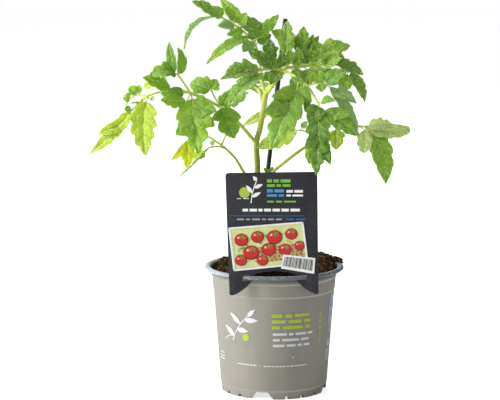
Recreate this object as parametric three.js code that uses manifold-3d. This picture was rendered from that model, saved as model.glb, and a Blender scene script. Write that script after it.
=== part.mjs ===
// A young cherry tomato plant in its nursery pot, with a plant label and a support stake.
// Millimetres, +Z up. The label is in front, on the -Y side, and +X is to its right.
// The origin is on the ground, under the centre of the pot.
import * as THREE from "three";
import { mergeVertices } from "three/addons/utils/BufferGeometryUtils.js";
import Module from "manifold-3d";

const wasm = await Module();
wasm.setup();

// Every two pieces that touch on the real plant are this far apart
const GAP = 0.3;

// The pot, whose wall leans outwards from its foot to its rim
const POT_HEIGHT = 110;
const RIM_RADIUS = 61;
const LIP_HEIGHT = 3.3;
const MOUTH_RADIUS = 55.6;
const BASE_RADIUS = 45.7;
const WALL_TAPER = 0.079;
const WALL = 1.4;
const FOOT_LINE = 7.2;
const LOWER_RIDGE = 90;
const UPPER_RIDGE = 101.4;
const RIDGE = 0.4;
const FLOOR_BOTTOM = 8;
const FLOOR_TOP = 9.6;
const PAD_RADIUS = 8;
const POT_SIDES = 36;
const wallRadius = (z) => BASE_RADIUS + WALL_TAPER * z;

// The notches in the foot ring. One wide notch looks a little left of the front
const WIDE_NOTCHES = 4;
const WIDE_NOTCH_TOP = 10.5;
const WIDE_NOTCH_BOTTOM = 19;
const WIDE_NOTCH_HEIGHT = 6.5;
const FIRST_NOTCH = -103.5;
const SMALL_NOTCH_ANGLES = [27, 45, 63];
const SMALL_NOTCH_WIDTH = 2.8;
const SMALL_NOTCH_HEIGHT = 2.8;
const DRAIN_HOLES = 8;
const DRAIN_RADIUS = 4;
const DRAIN_CIRCLE = 32;

// The soil, heaped highest at its back right, with lower heaps at its right and its back left
const SOIL_EDGE = 51.65;
const SOIL_EDGE_Z = 100;
const SOIL_MIDDLE_Z = 105;
const SOIL_SLOPE = 0.09;
const SOIL_HEAPS = [
  { x: 38, y: 27, height: 8 },
  { x: -38, y: 30, height: 3.5 },
  { x: 46, y: 2, height: 3.5 },
];
const HEAP_SPREAD = 22;
const SOIL_SIDES = 32;
const SOIL_RINGS = [0.86, 0.7, 0.52, 0.34, 0.17];

// The plant label, a thin card that straddles the pot's rim. Its slits take the rim and its arch is
// open below it
const CARD_FRONT = -55.4;
const CARD_THICKNESS = 0.6;
const CARD_LEFT = -40.6;
const CARD_FOOT_LEFT = -38.6;
const CARD_RIGHT = 36.9;
const CARD_BOTTOM = 94;
const CARD_TOP = 198.8;
const CARD_CORNER = 3;
const CARD_ROLL = 0.8;
const LEG_CORNER = 1.5;
const LEG_LEFT = -35.5;
const LEG_RIGHT = 34.8;
const LEG_REACH = 9;
const LEG_RISE = 3;
const ARCH_LEFT = -19.4;
const ARCH_RIGHT = 18.5;
const ARCH_TOP = 118;
const SLIT_REACH = 27.4;
const SLIT_BOTTOM = 106.2;
const SLIT_TOP = 110.6;

// The stake and the stem
const STAKE_RADIUS = 2;
const STAKE_AT_SOIL = [-14.6, 12, 110];
const STAKE_TOP = [9.8, 22, 323];
const STAKE_FOOT_Z = 30;
const STEM_BASE_RADIUS = 3;
const STEM_TIP_RADIUS = 2.2;
const STEM_FOOT_Z = 65;
const STEM_PATH = [
  [-15, 0, STEM_FOOT_Z], [-15, 0, 112], [-14.5, 0, 190], [-15.5, 0, 216], [-12.5, 0, 229],
  [-9.5, 0, 246], [-7, 0, 260], [-1, 0, 269], [9, 1, 281], [11, 3, 290],
];
const STEM_SIDES = 8;
const STEM_STEPS = 16;
const HOLE_TOP = 130;

// The leaf blades. Their edges have teeth that lean towards the tip, with notches between them
const BLADE = 0.8;
const STALK_WIDTH = 1.5;
const STALK_THICKNESS = 1.2;
const TIP_WIDTH = 1;
const TOOTH = { width: 1.03, lean: 0.3 };
const NOTCH = { width: 0.8, lean: -0.1 };
const FOLD = 0.16;
const WAVE = 0.035;
const NARROW = 13;

// Faces smaller than a sliver are merged after a union, and loose bodies smaller than a crumb dropped
const SLIVER = 0.12;
const CRUMB = 0.2;

// Where the upper face of a leaflet looks
const FRONT = [0, -1, 0.3];
const UP = [0, -0.35, 1];

// Each leaf has a rachis and the stalks that branch off it, as [points, foot radius, tip radius].
// Each leaflet is [blade base, tip, full width, where its face looks, arch, { foot, bow }].
// The arch is how far the middle of the blade rises towards its face, and the bow how far it swings
// sideways. A leaflet with no foot of its own grows from the nearest point of the leaf's stalks.
const LEAVES = {
  leaf_left: {
    stalks: [
      [[[-15, 0, 216], [-31, -6, 235], [-48, -12, 250], [-72, -18, 262], [-90, -20, 264.5],
        [-109, -22, 259.5], [-122.5, -24, 247.5]], 1.7, 0.9],
      [[[-109, -22, 259.5], [-116, -21, 261], [-122.5, -21, 258], [-126, -22, 253.5], [-127, -23, 250]],
        0.7, 0.6],
      [[[-72, -18, 262], [-77, -20, 270], [-83, -22, 279]], 1, 0.8],
      [[[-46, -11, 249], [-51, -9, 257], [-54, -8, 263]], 0.8, 0.7],
    ],
    leaflets: [
      [[-123, -24, 247], [-158, -28, 211], 10.5, [-0.1, -1, 0.1], 1, { bow: -2 }],
      [[-135, -26, 232], [-150.5, -29, 228], 8, [-0.2, -0.9, 0.3], 1, { foot: [-131, -26, 235] }],
      [[-133, -25.5, 237.5], [-139.5, -25, 236], 4, FRONT, 0, { foot: [-129, -25, 238.5] }],
      [[-122.6, -25, 249.1], [-128.2, -26, 249.3], 5, FRONT, 0, { foot: [-121.3, -23.8, 248.6] }],
      [[-109, -28, 255.5], [-109, -42, 211], 20, [0, -1, 0.3], 2, { bow: 2.5 }],
      [[-105, -25, 256.5], [-102.5, -24, 260], 3, FRONT, 0, { foot: [-108, -22.5, 258.5] }],
      [[-114, -24, 254], [-122.5, -26, 254.3], 3.5, UP, 0.5, { foot: [-112, -22.5, 256.7] }],
      [[-117.5, -21, 262], [-124.7, -19, 267.6], 8, FRONT, 1],
      [[-116, -21, 262], [-115.5, -18, 269.5], 5, FRONT, 0],
      [[-123.5, -21, 257.5], [-129.3, -20, 259.5], 7, FRONT, 1],
      [[-126, -23, 249], [-123, -23.5, 247.3], 3.5, FRONT, 0],
      [[-85.5, -23, 280], [-90, -20, 306], 8, [-0.5, -1, 0.1], 1],
      [[-81.8, -22, 279], [-83, -16, 301], 8, [0.5, -1, 0.1], 1, { bow: 3.5 }],
      [[-84.5, -23, 279.5], [-106, -30, 278], 17, [-0.3, -0.7, 0.7], 4],
      [[-89, -23, 266.8], [-112, -34, 277.3], 13, [-0.2, -0.8, 0.6], 2, { bow: -1 }],
      [[-104, -29, 272], [-111.5, -26, 267], 6, FRONT, 0, { foot: [-99, -28.5, 273.3] }],
      [[-76, -23, 254.5], [-97, -33, 257.5], 13, [-0.1, -1, 0.4], 1, { foot: [-72, -19, 261] }],
      [[-77.5, -24, 262.5], [-91, -33, 265.5], 8, [0, -1, 0.6], 1],
      [[-82, -16, 258], [-97, -21, 262], 9, [0, -1, 0.3], 1],
      [[-70.5, -22.5, 257.5], [-65.2, -41, 213], 26, [0, -1, 0.42], 2, { foot: [-71.5, -19, 261.5] }],
      [[-71.5, -32, 236.5], [-84, -37, 228], 13, [-0.1, -1, 0.4], 1, { foot: [-68.5, -32, 239] }],
      [[-66, -27, 250.5], [-49.5, -31, 248], 15, [0.1, -1, 0.4], 1, { foot: [-70, -25.5, 252] }],
      [[-66, -31, 241], [-50.5, -35, 236], 13, [0.1, -1, 0.4], 1, { foot: [-69, -29, 242] }],
      [[-45.3, -17, 249], [-34, -28, 224], 21, [0.1, -1, 0.4], 1, { foot: [-48, -12.5, 249.8] }],
      [[-44.5, -18, 250.5], [-38, -24, 265], 12, [0.2, -1, 0.4], 1, { foot: [-47, -13, 249.8] }],
      [[-55.3, -8.5, 264], [-72.6, -1, 269], 16, [-0.2, -1, 0.6], 2],
      [[-54.3, -9, 264.5], [-49.5, -8, 273], 11, [0.2, -1, 0.6], 1],
    ],
  },
  leaf_lower_left: {
    stalks: [
      [[[-15, -1, 176], [-26, -8, 192], [-34, -13, 205.5], [-43, -17, 215], [-50.5, -18, 220.5],
        [-58, -18, 224.5], [-73, -14, 222]], 1.5, 0.8],
      [[[-42, -16.5, 214], [-48, -20, 216.3], [-56, -24, 216]], 0.8, 0.7],
      [[[-45.5, -17.3, 217], [-43.5, -14, 221.5], [-41.5, -11, 226]], 0.8, 0.7],
    ],
    leaflets: [
      [[-74, -14, 221], [-75, -22, 197], 10.5, FRONT, 1],
      [[-76, -14, 219], [-89.3, -18, 204.5], 6, FRONT, 0, { foot: [-74, -14, 222], bow: -2 }],
      [[-57, -24.5, 215.5], [-83, -34, 191], 13, [-0.9, 0.1, 0.75], -1],
      [[-54, -24, 218], [-52, -24.5, 222], 4, FRONT, 0],
      [[-62.5, -27.5, 210], [-70, -27, 207], 7, [-0.3, -1, 0.4], 0, { foot: [-60, -26, 212.5] }],
      [[-41.3, -10, 227], [-36, 2, 240], 13, FRONT, 1],
    ],
  },
  leaf_lower_right: {
    stalks: [
      [[[-15, -1, 178], [-1, -8, 193], [13, -12, 205], [26, -16, 215], [39, -18, 223], [53, -18, 230],
        [66, -18, 233], [75, -18, 233.5]], 1.7, 0.9],
      [[[38, -18, 222.5], [30, -20, 228], [21, -22, 231]], 0.8, 0.7],
    ],
    leaflets: [
      [[77, -18, 233], [116.6, -14, 230.8], 11.5, [0.1, -0.9, 0.5], 2, { bow: 4 }],
      [[81, -18.5, 234], [101, -17, 235.5], 11, [-0.1, -0.9, 0.5], 1, { foot: [76, -18, 233.4] }],
      [[83, -19.5, 231], [95, -27, 185], 18, [0.35, -1, 0.2], 2, { bow: -2.5, foot: [76, -18, 233.4] }],
      [[77.5, -20, 230.5], [76, -30, 212], 11.5, FRONT, 1],
      [[52.5, -20, 230.5], [52.3, -28, 214.5], 13.5, FRONT, 1],
      [[33.5, -18, 218], [29.5, -25, 201.5], 11, FRONT, 1],
      [[66, -16.5, 235.5], [59.5, -13, 237.5], 5, FRONT, 0],
      [[19, -22.5, 230.5], [-15, -15, 214.3], 16, [-0.3, -1, 0.4], 1],
      [[23, -21.5, 232.5], [28, -20, 238], 5, FRONT, 0],
      [[-4, -7.5, 191], [-9.5, -9, 196.5], 3.5, FRONT, 0.5],
      [[-3, -7.5, 192], [-1.5, -10, 197.5], 4, FRONT, 0],
    ],
  },
  leaf_front_right: {
    stalks: [
      [[[-6, -0.5, 260], [1, -7, 272], [8, -15, 280], [19, -28, 276], [29, -38, 268], [37, -46, 255]],
        1.5, 0.8],
      [[[27, -36, 270], [36, -34, 272], [45, -33, 270]], 0.8, 0.6],
    ],
    leaflets: [
      [[37, -47, 253], [34.5, -63, 197], 18, [0, -1, 0.3], 2],
      [[36, -49, 250.5], [28.5, -52, 239], 12, [-0.1, -1, 0.3], 1, { foot: [37, -47, 254] }],
      [[33.5, -57, 226], [25, -60, 220], 8, FRONT, 0, { foot: [36, -56, 230] }],
      [[39.5, -57, 224.5], [46.5, -61, 206], 9, FRONT, 0, { foot: [36.3, -56, 230] }],
      [[42, -48, 250], [71, -53, 229], 15, [0.2, -1, 0.5], 1, { foot: [38, -47, 253] }],
      [[50, -49, 247.5], [64, -51, 247], 9, [0.1, -1, 0.6], 1, { foot: [46, -48, 247] }],
      [[39, -45.5, 257], [50, -50, 258.5], 8.5, [0.1, -0.9, 0.9], 2],
      [[18, -40, 267], [-3, -57, 219.5], 24, [-0.2, -1, 0.35], 2, { foot: [21, -31, 274] }],
      [[14, -43, 263], [-3, -49, 262], 9, FRONT, 1, { foot: [18, -41, 266] }],
      [[8, -47, 253], [-9.5, -51, 248], 11, FRONT, 1, { foot: [13, -45, 257] }],
      [[20, -41, 264.5], [31, -44, 257], 11, FRONT, 1, { foot: [18, -40, 267] }],
      [[28, -42.5, 259.5], [25.5, -46, 248.5], 5, FRONT, 0, { foot: [27, -42, 262] }],
      [[47, -33.5, 268.5], [71, -40, 232], 10.5, [0.5, -0.8, 0.4], 3],
      [[53, -35, 262], [69, -37, 255], 11, [0.4, -0.7, 0.8], 2, { foot: [50, -34, 265.5] }],
      [[43, -33.5, 272.5], [61, -38, 283], 13, [0, -1, 0.6], 1],
      [[38.5, -35, 271], [40, -41, 265.5], 8, FRONT, 0],
      [[34, -35, 273.5], [32.5, -37, 281], 8, FRONT, 0],
      [[14, -27, 275.5], [25, -41, 264.5], 9, [-0.3, -1, 0.4], 0],
    ],
  },
  leaf_front_left: {
    stalks: [
      [[[7.5, 0, 280], [1, -12, 282], [-8, -26, 283], [-15, -35, 283]], 1.3, 0.9],
    ],
    leaflets: [
      [[-16, -36, 282], [-45.5, -57, 277.5], 12, [-0.2, -0.8, 0.7], 2],
      [[-14, -33, 285], [-41.5, -46, 283], 15, [-0.1, -0.9, 0.6], 2],
      [[-11, -33, 280], [-39, -64, 254.5], 18, [-0.5, -0.75, 0.7], 4],
      [[1.1, -20, 279.4], [-10.8, -30, 273.5], 10, [-0.1, -0.9, 0.5], 0],
      [[-1, -19, 284.5], [-20, -24, 298.5], 12, [0.1, -1, 0.5], 1],
      [[3.5, -9, 283.5], [-5, -14, 292.5], 8, FRONT, 0],
      [[6, -6.5, 283.5], [6.8, -10, 297.5], 8, FRONT, 0],
      [[4, -15, 280.5], [-4, -35, 271], 12, [-0.1, -0.9, 0.6], 1],
    ],
  },
  leaf_top_left: {
    stalks: [
      [[[-7.5, 0, 258], [-11, 3, 272], [-13, 4, 289], [-17.5, 5, 303], [-25, 6, 311.5], [-37, 4, 320.5],
        [-50, 1, 327.5]], 1.5, 0.8],
    ],
    leaflets: [
      [[-51, 0.5, 328], [-70.8, -8, 339.5], 11, [-0.1, -0.8, 0.8], 2],
      [[-51.5, -1, 326.5], [-77.3, -10, 298.8], 10, [-0.8, -0.45, 0.5], 8],
      [[-28.5, 7, 320], [-46.5, 15, 340.6], 10.5, FRONT, 1],
      [[-34.5, 2, 324], [-43, -3, 335], 7, [0.2, -1, 0.4], 1],
      [[-28, 7.5, 317], [-14, 15, 321.5], 13, FRONT, 1],
      [[-21.5, 7, 312.5], [-11, 12, 320.5], 11, FRONT, 1],
      [[-35, 0.5, 318.5], [-48.5, -9, 318.5], 9, [-0.2, -1, 0.5], 1],
      [[-22, 1.5, 308.5], [-58.5, -16, 286.5], 10, [-0.4, -0.85, 0.5], 5.5],
      [[-27, 4, 313.5], [-41, 2, 310.5], 7, FRONT, 0],
      [[-19.5, 1.5, 304.5], [-27, -9, 296.5], 9.5, FRONT, 0],
      [[-15, 7, 307], [4, 14, 327], 10, [0, -1, 0.5], 1],
      [[-14.5, 7, 303.5], [-2.6, 12, 310], 8.5, FRONT, 0],
      [[-13.5, 1, 292], [-22.5, -5, 298], 8, FRONT, 0],
      [[-30.5, 3, 319], [-24, -3, 329.5], 9, FRONT, 0],
      [[-45, 0, 325.8], [-53.5, -6, 335.5], 9, FRONT, 0, { foot: [-46.5, 2, 325.5] }],
      [[-16.5, 4, 306.5], [-21, -1, 316.5], 9, FRONT, 0],
    ],
  },
  leaf_top_right: {
    stalks: [
      [[[9.8, 1.2, 282], [25, 4, 283], [40, 6, 285], [55, 6, 284], [66, 4, 278]], 1.4, 0.9],
    ],
    leaflets: [
      [[66.3, 3.5, 277], [77.6, -8, 253.5], 11, [0.5, -0.8, 0.5], 3],
      [[55, 3.5, 286.5], [76.4, -2, 276.5], 13, [0.2, -0.8, 0.8], 1],
      [[34, 9, 293], [65.8, 14, 300], 17, [0.1, -1, 0.6], 3, { foot: [30, 5, 284] }],
      [[51, 9, 293], [61, 6, 285], 9, FRONT, 1, { foot: [46, 6, 286] }],
      [[63, 3, 276], [58, -4, 261.5], 14, FRONT, 1],
      [[28, -0.5, 281], [30, -9, 267.5], 13, FRONT, 1],
      [[26.5, 0.5, 285.5], [26.8, -4.5, 301], 8, FRONT, 1],
      [[38, 8.5, 288.5], [34, 4.5, 304.5], 11, FRONT, 1],
      [[33, 1, 286], [42, -5, 297], 13, [0.1, -1, 0.4], 1],
      [[47, 3.5, 288], [56, -5, 296], 11, [0.1, -1, 0.6], 1],
      [[46, 2, 281], [49, -7, 267], 11, FRONT, 1],
      [[16, -0.5, 284.5], [21.5, -5, 292], 9, FRONT, 0],
      [[21.5, -1.5, 286], [20, -8, 300.5], 8, FRONT, 0],
      [[37.5, -2, 287], [39.5, -9, 300.5], 10, FRONT, 0],
      [[43, -3, 286.5], [57.5, -9, 291], 10, [0.1, -1, 0.5], 0],
      [[37, -3, 281.5], [38.5, -10, 268], 11, FRONT, 0],
      [[15.5, -1.5, 280.5], [24.5, -9, 272.4], 9, FRONT, 0],
      [[13, -1.5, 285.5], [13.8, -7, 299], 8, FRONT, 0],
    ],
  },
  shoot_tip: {
    stalks: [
      [[[10.8, 2.6, 288], [13, 4.5, 293], [20, 7, 293], [26, 9, 295]], 1.3, 0.8],
    ],
    leaflets: [
      [[9.8, 5, 294.5], [11.3, 12, 322], 13, [-0.1, -1, 0.2], 1],
      [[8.5, 8.5, 309.5], [-2.6, 10, 313.5], 8, FRONT, 0, { foot: [11, 8, 307] }],
      [[0.5, -3.5, 289.5], [-4.2, -8, 308], 14, [0.1, -1, 0.3], 1, { foot: [12, 4, 291.5], bow: -2.5 }],
      [[23.8, 9.5, 296.5], [25.5, 14, 316.8], 11, [0.1, -1, 0.2], 1],
      [[20, 8, 295], [18.5, 10, 309.5], 5, FRONT, 0],
      [[28, 10, 296], [34, 14, 310], 6, FRONT, 0],
      [[29, 11, 296], [39, 18, 308.5], 6, FRONT, 0],
    ],
  },
  leaf_back_right: {
    stalks: [
      [[[10, 3.4, 283], [14, 16, 288], [22, 38, 290], [32, 62, 286], [38, 78, 278]], 1.5, 0.8],
    ],
    leaflets: [
      [[38, 79, 277], [44, 94, 258], 17, [0.2, 0.8, 0.8], 2],
      [[36, 72, 281], [18, 82, 272], 14, [-0.2, 0.4, 1], 2],
      [[39, 70, 281], [56, 72, 268], 14, [0.4, 0.2, 1], 2],
      [[27, 52, 289], [8, 56, 284], 13, [-0.2, 0.2, 1], 2],
      [[30, 52, 288], [48, 48, 278], 13, [0.3, 0, 1], 2],
      [[20, 36, 290], [5, 34, 292], 9, UP, 1],
      [[24, 36, 290], [37, 32, 286], 9, UP, 1],
    ],
  },
  leaf_back_left: {
    stalks: [
      [[[-9.5, 0.5, 247], [-12, 16, 258], [-17, 38, 264], [-24, 60, 262], [-29, 74, 256]], 1.5, 0.8],
    ],
    leaflets: [
      [[-29, 75, 255], [-36, 90, 238], 17, [-0.2, 0.8, 0.8], 2],
      [[-26, 68, 259], [-8, 76, 250], 14, [0.2, 0.4, 1], 2],
      [[-29, 67, 259], [-46, 66, 250], 14, [-0.4, 0.2, 1], 2],
      [[-18, 48, 264.5], [-2, 52, 260], 13, [0.2, 0.2, 1], 2, { foot: [-19.9, 46.5, 263.8] }],
      [[-22, 48, 264], [-38, 42, 258], 13, [-0.3, 0, 1], 2],
      [[-14, 30, 263], [-26, 24, 266], 9, UP, 1],
      [[-13, 34, 263], [0, 32, 262], 9, UP, 1],
      [[-3, 48, 240], [-28, 48, 226], 7, FRONT, 1, { foot: [-18, 41, 263.8] }],
    ],
  },
  leaf_back_low: {
    stalks: [
      [[[-15, 1, 146], [-20, 13, 153], [-14, 31, 160], [-3, 53, 165], [5, 74, 160]], 1.5, 0.8],
    ],
    leaflets: [
      [[5, 75, 159], [10, 92, 142], 18, [0.1, 0.8, 0.8], 2],
      [[3, 66, 163], [-16, 76, 154], 15, [-0.3, 0.4, 1], 2],
      [[6, 65, 163], [26, 66, 156], 15, [0.3, 0.3, 1], 2],
      [[-6, 47, 164], [-23, 50, 160], 13, [-0.3, 0.1, 1], 2],
      [[-3, 46, 164], [15, 42, 160], 13, [0.3, 0.1, 1], 2],
      [[-17, 30, 160], [-30, 30, 158], 9, UP, 1],
    ],
  },
};

const COLOURS = {
  pot: 0x8f8c83,
  soil: 0x3a2a1e,
  plant_label: 0x38393d,
  support_stake: 0x1a1d22,
  main_stem: 0xa4b450,
  leaf: 0x6ea032,
};

// Solids and meshes

function solid(geometry) {
  const plain = geometry.clone();
  plain.deleteAttribute("normal");
  plain.deleteAttribute("uv");
  const merged = mergeVertices(plain, 1e-4);
  return new wasm.Manifold(
    new wasm.Mesh({
      numProp: 3,
      vertProperties: new Float32Array(merged.attributes.position.array),
      triVerts: new Uint32Array(merged.index.array),
    }),
  );
}

function mesh(name, body, colour, roughness = 0.8) {
  const { vertProperties, triVerts } = body.getMesh();
  const geometry = new THREE.BufferGeometry();
  geometry.setAttribute("position", new THREE.BufferAttribute(vertProperties, 3));
  geometry.setIndex(new THREE.BufferAttribute(triVerts, 1));
  geometry.computeVertexNormals();
  const material = new THREE.MeshStandardMaterial({ color: colour, roughness, metalness: 0 });
  const piece = new THREE.Mesh(geometry, material);
  piece.name = name;
  return piece;
}

const vector = (point) => new THREE.Vector3(...point);

// A turned body, from a profile of [radius, height] pairs that starts and ends on the axis
function turned(profile, sides) {
  const points = profile.map(([radius, height]) => new THREE.Vector2(radius, height));
  return new THREE.LatheGeometry(points, sides).rotateX(Math.PI / 2);
}

const smoothPath = (points) => new THREE.CatmullRomCurve3(points.map(vector), false, "catmullrom");

// A cylinder that is bent along a path and tapers from its foot to its tip
function bentTube(points, footRadius, tipRadius, sides, steps) {
  const curve = smoothPath(points);
  const { normals, binormals } = curve.computeFrenetFrames(steps);
  const tube = new THREE.CylinderGeometry(tipRadius, footRadius, 1, sides, steps);
  const position = tube.attributes.position;
  for (let i = 0; i < position.count; i++) {
    const step = Math.round((position.getY(i) + 0.5) * steps);
    const point = curve
      .getPointAt(step / steps)
      .addScaledVector(binormals[step], position.getX(i))
      .addScaledVector(normals[step], position.getZ(i));
    position.setXYZ(i, point.x, point.y, point.z);
  }
  return tube;
}

// A straight cylinder between two points
function rod(from, to, radius, sides) {
  const [start, end] = [vector(from), vector(to)];
  const along = end.clone().sub(start);
  const axis = new THREE.Vector3(0, 1, 0);
  const turn = new THREE.Quaternion().setFromUnitVectors(axis, along.clone().normalize());
  const middle = start.add(end).multiplyScalar(0.5);
  return new THREE.CylinderGeometry(radius, radius, along.length(), sides)
    .applyQuaternion(turn)
    .translate(middle.x, middle.y, middle.z);
}

// The pot

function potBody() {
  const footInner = wallRadius(0) - 2 * WALL;
  const lipBottom = POT_HEIGHT - LIP_HEIGHT;
  const neck = UPPER_RIDGE + RIDGE;
  const profile = [
    [0, 0],
    [PAD_RADIUS, 0],
    [PAD_RADIUS, FLOOR_BOTTOM],
    [footInner, FLOOR_BOTTOM],
    [footInner - RIDGE, 0],
    [wallRadius(0), 0],
    [wallRadius(FOOT_LINE), FOOT_LINE - RIDGE],
    [wallRadius(FOOT_LINE) + RIDGE, FOOT_LINE + RIDGE],
    [wallRadius(LOWER_RIDGE), LOWER_RIDGE - RIDGE],
    [wallRadius(LOWER_RIDGE) + RIDGE, LOWER_RIDGE + RIDGE],
    [wallRadius(UPPER_RIDGE) + RIDGE, UPPER_RIDGE - RIDGE],
    [MOUTH_RADIUS - 2 * RIDGE, neck],
    [MOUTH_RADIUS - RIDGE, lipBottom],
    [RIM_RADIUS - 3 * RIDGE, lipBottom],
    [RIM_RADIUS, lipBottom + LIP_HEIGHT / 3],
    [RIM_RADIUS - RIDGE, POT_HEIGHT - 2 * RIDGE],
    [RIM_RADIUS - WALL, POT_HEIGHT],
    [MOUTH_RADIUS + WALL, POT_HEIGHT],
    [MOUTH_RADIUS, POT_HEIGHT - 2 * RIDGE],
    [MOUTH_RADIUS - WALL, lipBottom],
    [MOUTH_RADIUS - WALL - 2 * RIDGE, neck],
    [wallRadius(neck) - WALL - RIDGE, neck - WALL],
    [wallRadius(FLOOR_TOP) - WALL, FLOOR_TOP],
    [0, FLOOR_TOP],
  ];
  const cuts = [];
  const ringMiddle = wallRadius(0) - WALL;
  const aroundFoot = (cut, degrees) => cuts.push(solid(cut.rotateZ(THREE.MathUtils.degToRad(degrees))));
  for (let i = 0; i < WIDE_NOTCHES; i++) {
    const centre = FIRST_NOTCH + (360 / WIDE_NOTCHES) * i;
    aroundFoot(wideNotch(ringMiddle), centre);
    for (const angle of SMALL_NOTCH_ANGLES) {
      const notch = new THREE.BoxGeometry(6 * WALL, SMALL_NOTCH_WIDTH, 2 * SMALL_NOTCH_HEIGHT);
      aroundFoot(notch.translate(ringMiddle, 0, 0), centre + angle);
    }
  }
  for (let i = 0; i < DRAIN_HOLES; i++) {
    const [below, above] = [FLOOR_BOTTOM - WALL, FLOOR_TOP + WALL];
    const hole = rod([DRAIN_CIRCLE, 0, below], [DRAIN_CIRCLE, 0, above], DRAIN_RADIUS, 10);
    aroundFoot(hole, FIRST_NOTCH + (360 / DRAIN_HOLES) * (i + 0.5));
  }
  return solid(turned(profile, POT_SIDES)).subtract(wasm.Manifold.union(cuts));
}

// A wedge that cuts one wide notch, open right through the foot ring, in the +X direction
function wideNotch(ringMiddle) {
  const below = 1;
  const outline = new THREE.Shape();
  outline.moveTo(-WIDE_NOTCH_BOTTOM / 2 - below, -below);
  outline.lineTo(WIDE_NOTCH_BOTTOM / 2 + below, -below);
  outline.lineTo(WIDE_NOTCH_TOP / 2, WIDE_NOTCH_HEIGHT);
  outline.lineTo(-WIDE_NOTCH_TOP / 2, WIDE_NOTCH_HEIGHT);
  const depth = 12 * WALL;
  return new THREE.ExtrudeGeometry(outline, { depth, bevelEnabled: false })
    .rotateX(Math.PI / 2)
    .rotateZ(Math.PI / 2)
    .translate(ringMiddle - depth / 2, 0, 0);
}

// The soil, low in front and heaped at the back, with a hole for the stem and one for the stake

function soilHeight(x, y) {
  const lumps = 1.1 * Math.sin(x / 6 + 1) * Math.cos(y / 7) + 0.8 * Math.sin((x + y) / 4.2);
  let height = SOIL_MIDDLE_Z + SOIL_SLOPE * y + lumps;
  for (const heap of SOIL_HEAPS)
    height += heap.height * Math.exp(-((x - heap.x) ** 2 + (y - heap.y) ** 2) / HEAP_SPREAD ** 2);
  return height;
}

function soilBody(stakeHole) {
  const bottom = FLOOR_TOP + GAP;
  const shoulder = SOIL_EDGE_Z - 4;
  const insideWall = (z) => wallRadius(z) - WALL - 2 * GAP;
  const profile = [
    [0, bottom],
    [insideWall(bottom), bottom],
    [insideWall(shoulder), shoulder],
    [SOIL_EDGE, SOIL_EDGE_Z],
    ...SOIL_RINGS.map((share) => [share * SOIL_EDGE, SOIL_MIDDLE_Z]),
    [0, SOIL_MIDDLE_Z],
  ];
  const heap = turned(profile, SOIL_SIDES);
  const position = heap.attributes.position;
  for (let i = 0; i < position.count; i++) {
    const [x, y, z] = [position.getX(i), position.getY(i), position.getZ(i)];
    if (z > shoulder + 1) position.setZ(i, soilHeight(x, y));
  }
  const [stemX, stemY] = STEM_PATH[0];
  const stemHole = rod(
    [stemX, stemY, STEM_FOOT_Z - GAP],
    [stemX, stemY, HOLE_TOP],
    STEM_BASE_RADIUS + 2 * GAP,
    10,
  );
  return solid(heap).subtract(solid(stemHole)).subtract(stakeHole);
}

// The plant label: a card with an arch cut out of its bottom, and slits that take the rim

function cardBody() {
  const outline = new THREE.Shape();
  const rightAngle = Math.PI / 2;
  const cornerCentre = [CARD_LEFT + CARD_CORNER, CARD_TOP - CARD_CORNER];
  const legMiddle = CARD_BOTTOM + LEG_RISE;
  const corner = (fromX, fromZ, toX, toZ) => {
    outline.lineTo(fromX, fromZ);
    outline.quadraticCurveTo(...(fromZ === CARD_BOTTOM ? [toX, fromZ] : [fromX, toZ]), toX, toZ);
  };
  outline.moveTo(CARD_LEFT + CARD_CORNER, CARD_TOP);
  outline.absarc(...cornerCentre, CARD_CORNER, rightAngle, 2 * rightAngle, false);
  corner(CARD_FOOT_LEFT, CARD_BOTTOM + LEG_CORNER, CARD_FOOT_LEFT + LEG_CORNER, CARD_BOTTOM);
  outline.lineTo(LEG_LEFT, CARD_BOTTOM);
  outline.quadraticCurveTo(LEG_LEFT + LEG_REACH, legMiddle, ARCH_LEFT, SLIT_BOTTOM);
  outline.lineTo(-SLIT_REACH, SLIT_BOTTOM);
  outline.lineTo(-SLIT_REACH, SLIT_TOP);
  outline.lineTo(ARCH_LEFT - LEG_CORNER, SLIT_TOP);
  outline.quadraticCurveTo((ARCH_LEFT + ARCH_RIGHT) / 2, ARCH_TOP, ARCH_RIGHT + LEG_CORNER, SLIT_TOP);
  outline.lineTo(SLIT_REACH, SLIT_TOP);
  outline.lineTo(SLIT_REACH, SLIT_BOTTOM);
  outline.lineTo(ARCH_RIGHT, SLIT_BOTTOM);
  outline.quadraticCurveTo(LEG_RIGHT - LEG_REACH, legMiddle, LEG_RIGHT, CARD_BOTTOM);
  corner(CARD_RIGHT - LEG_CORNER, CARD_BOTTOM, CARD_RIGHT, CARD_BOTTOM + LEG_CORNER);
  corner(CARD_RIGHT, CARD_TOP - LEG_CORNER, CARD_RIGHT - LEG_CORNER, CARD_TOP);
  const middle = (CARD_LEFT + CARD_RIGHT) / 2;
  const sheet = { depth: CARD_THICKNESS, bevelEnabled: false, curveSegments: 5 };
  const card = new THREE.ExtrudeGeometry(outline, sheet)
    .rotateX(rightAngle)
    .translate(-middle, CARD_FRONT + CARD_THICKNESS, -POT_HEIGHT)
    .rotateY(THREE.MathUtils.degToRad(-CARD_ROLL))
    .translate(middle, 0, POT_HEIGHT);
  return solid(card);
}

// The stake and the stem

const stakeAlong = vector(STAKE_TOP).sub(vector(STAKE_AT_SOIL));
const stakeFoot = vector(STAKE_AT_SOIL)
  .addScaledVector(stakeAlong, (STAKE_FOOT_Z - STAKE_AT_SOIL[2]) / stakeAlong.z)
  .toArray();
const stakeBody = (spare) => solid(rod(stakeFoot, STAKE_TOP, STAKE_RADIUS + spare, 10));
const stemBody = (spare) =>
  solid(bentTube(STEM_PATH, STEM_BASE_RADIUS + spare, STEM_TIP_RADIUS + spare, STEM_SIDES, STEM_STEPS));

// The leaves

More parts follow.
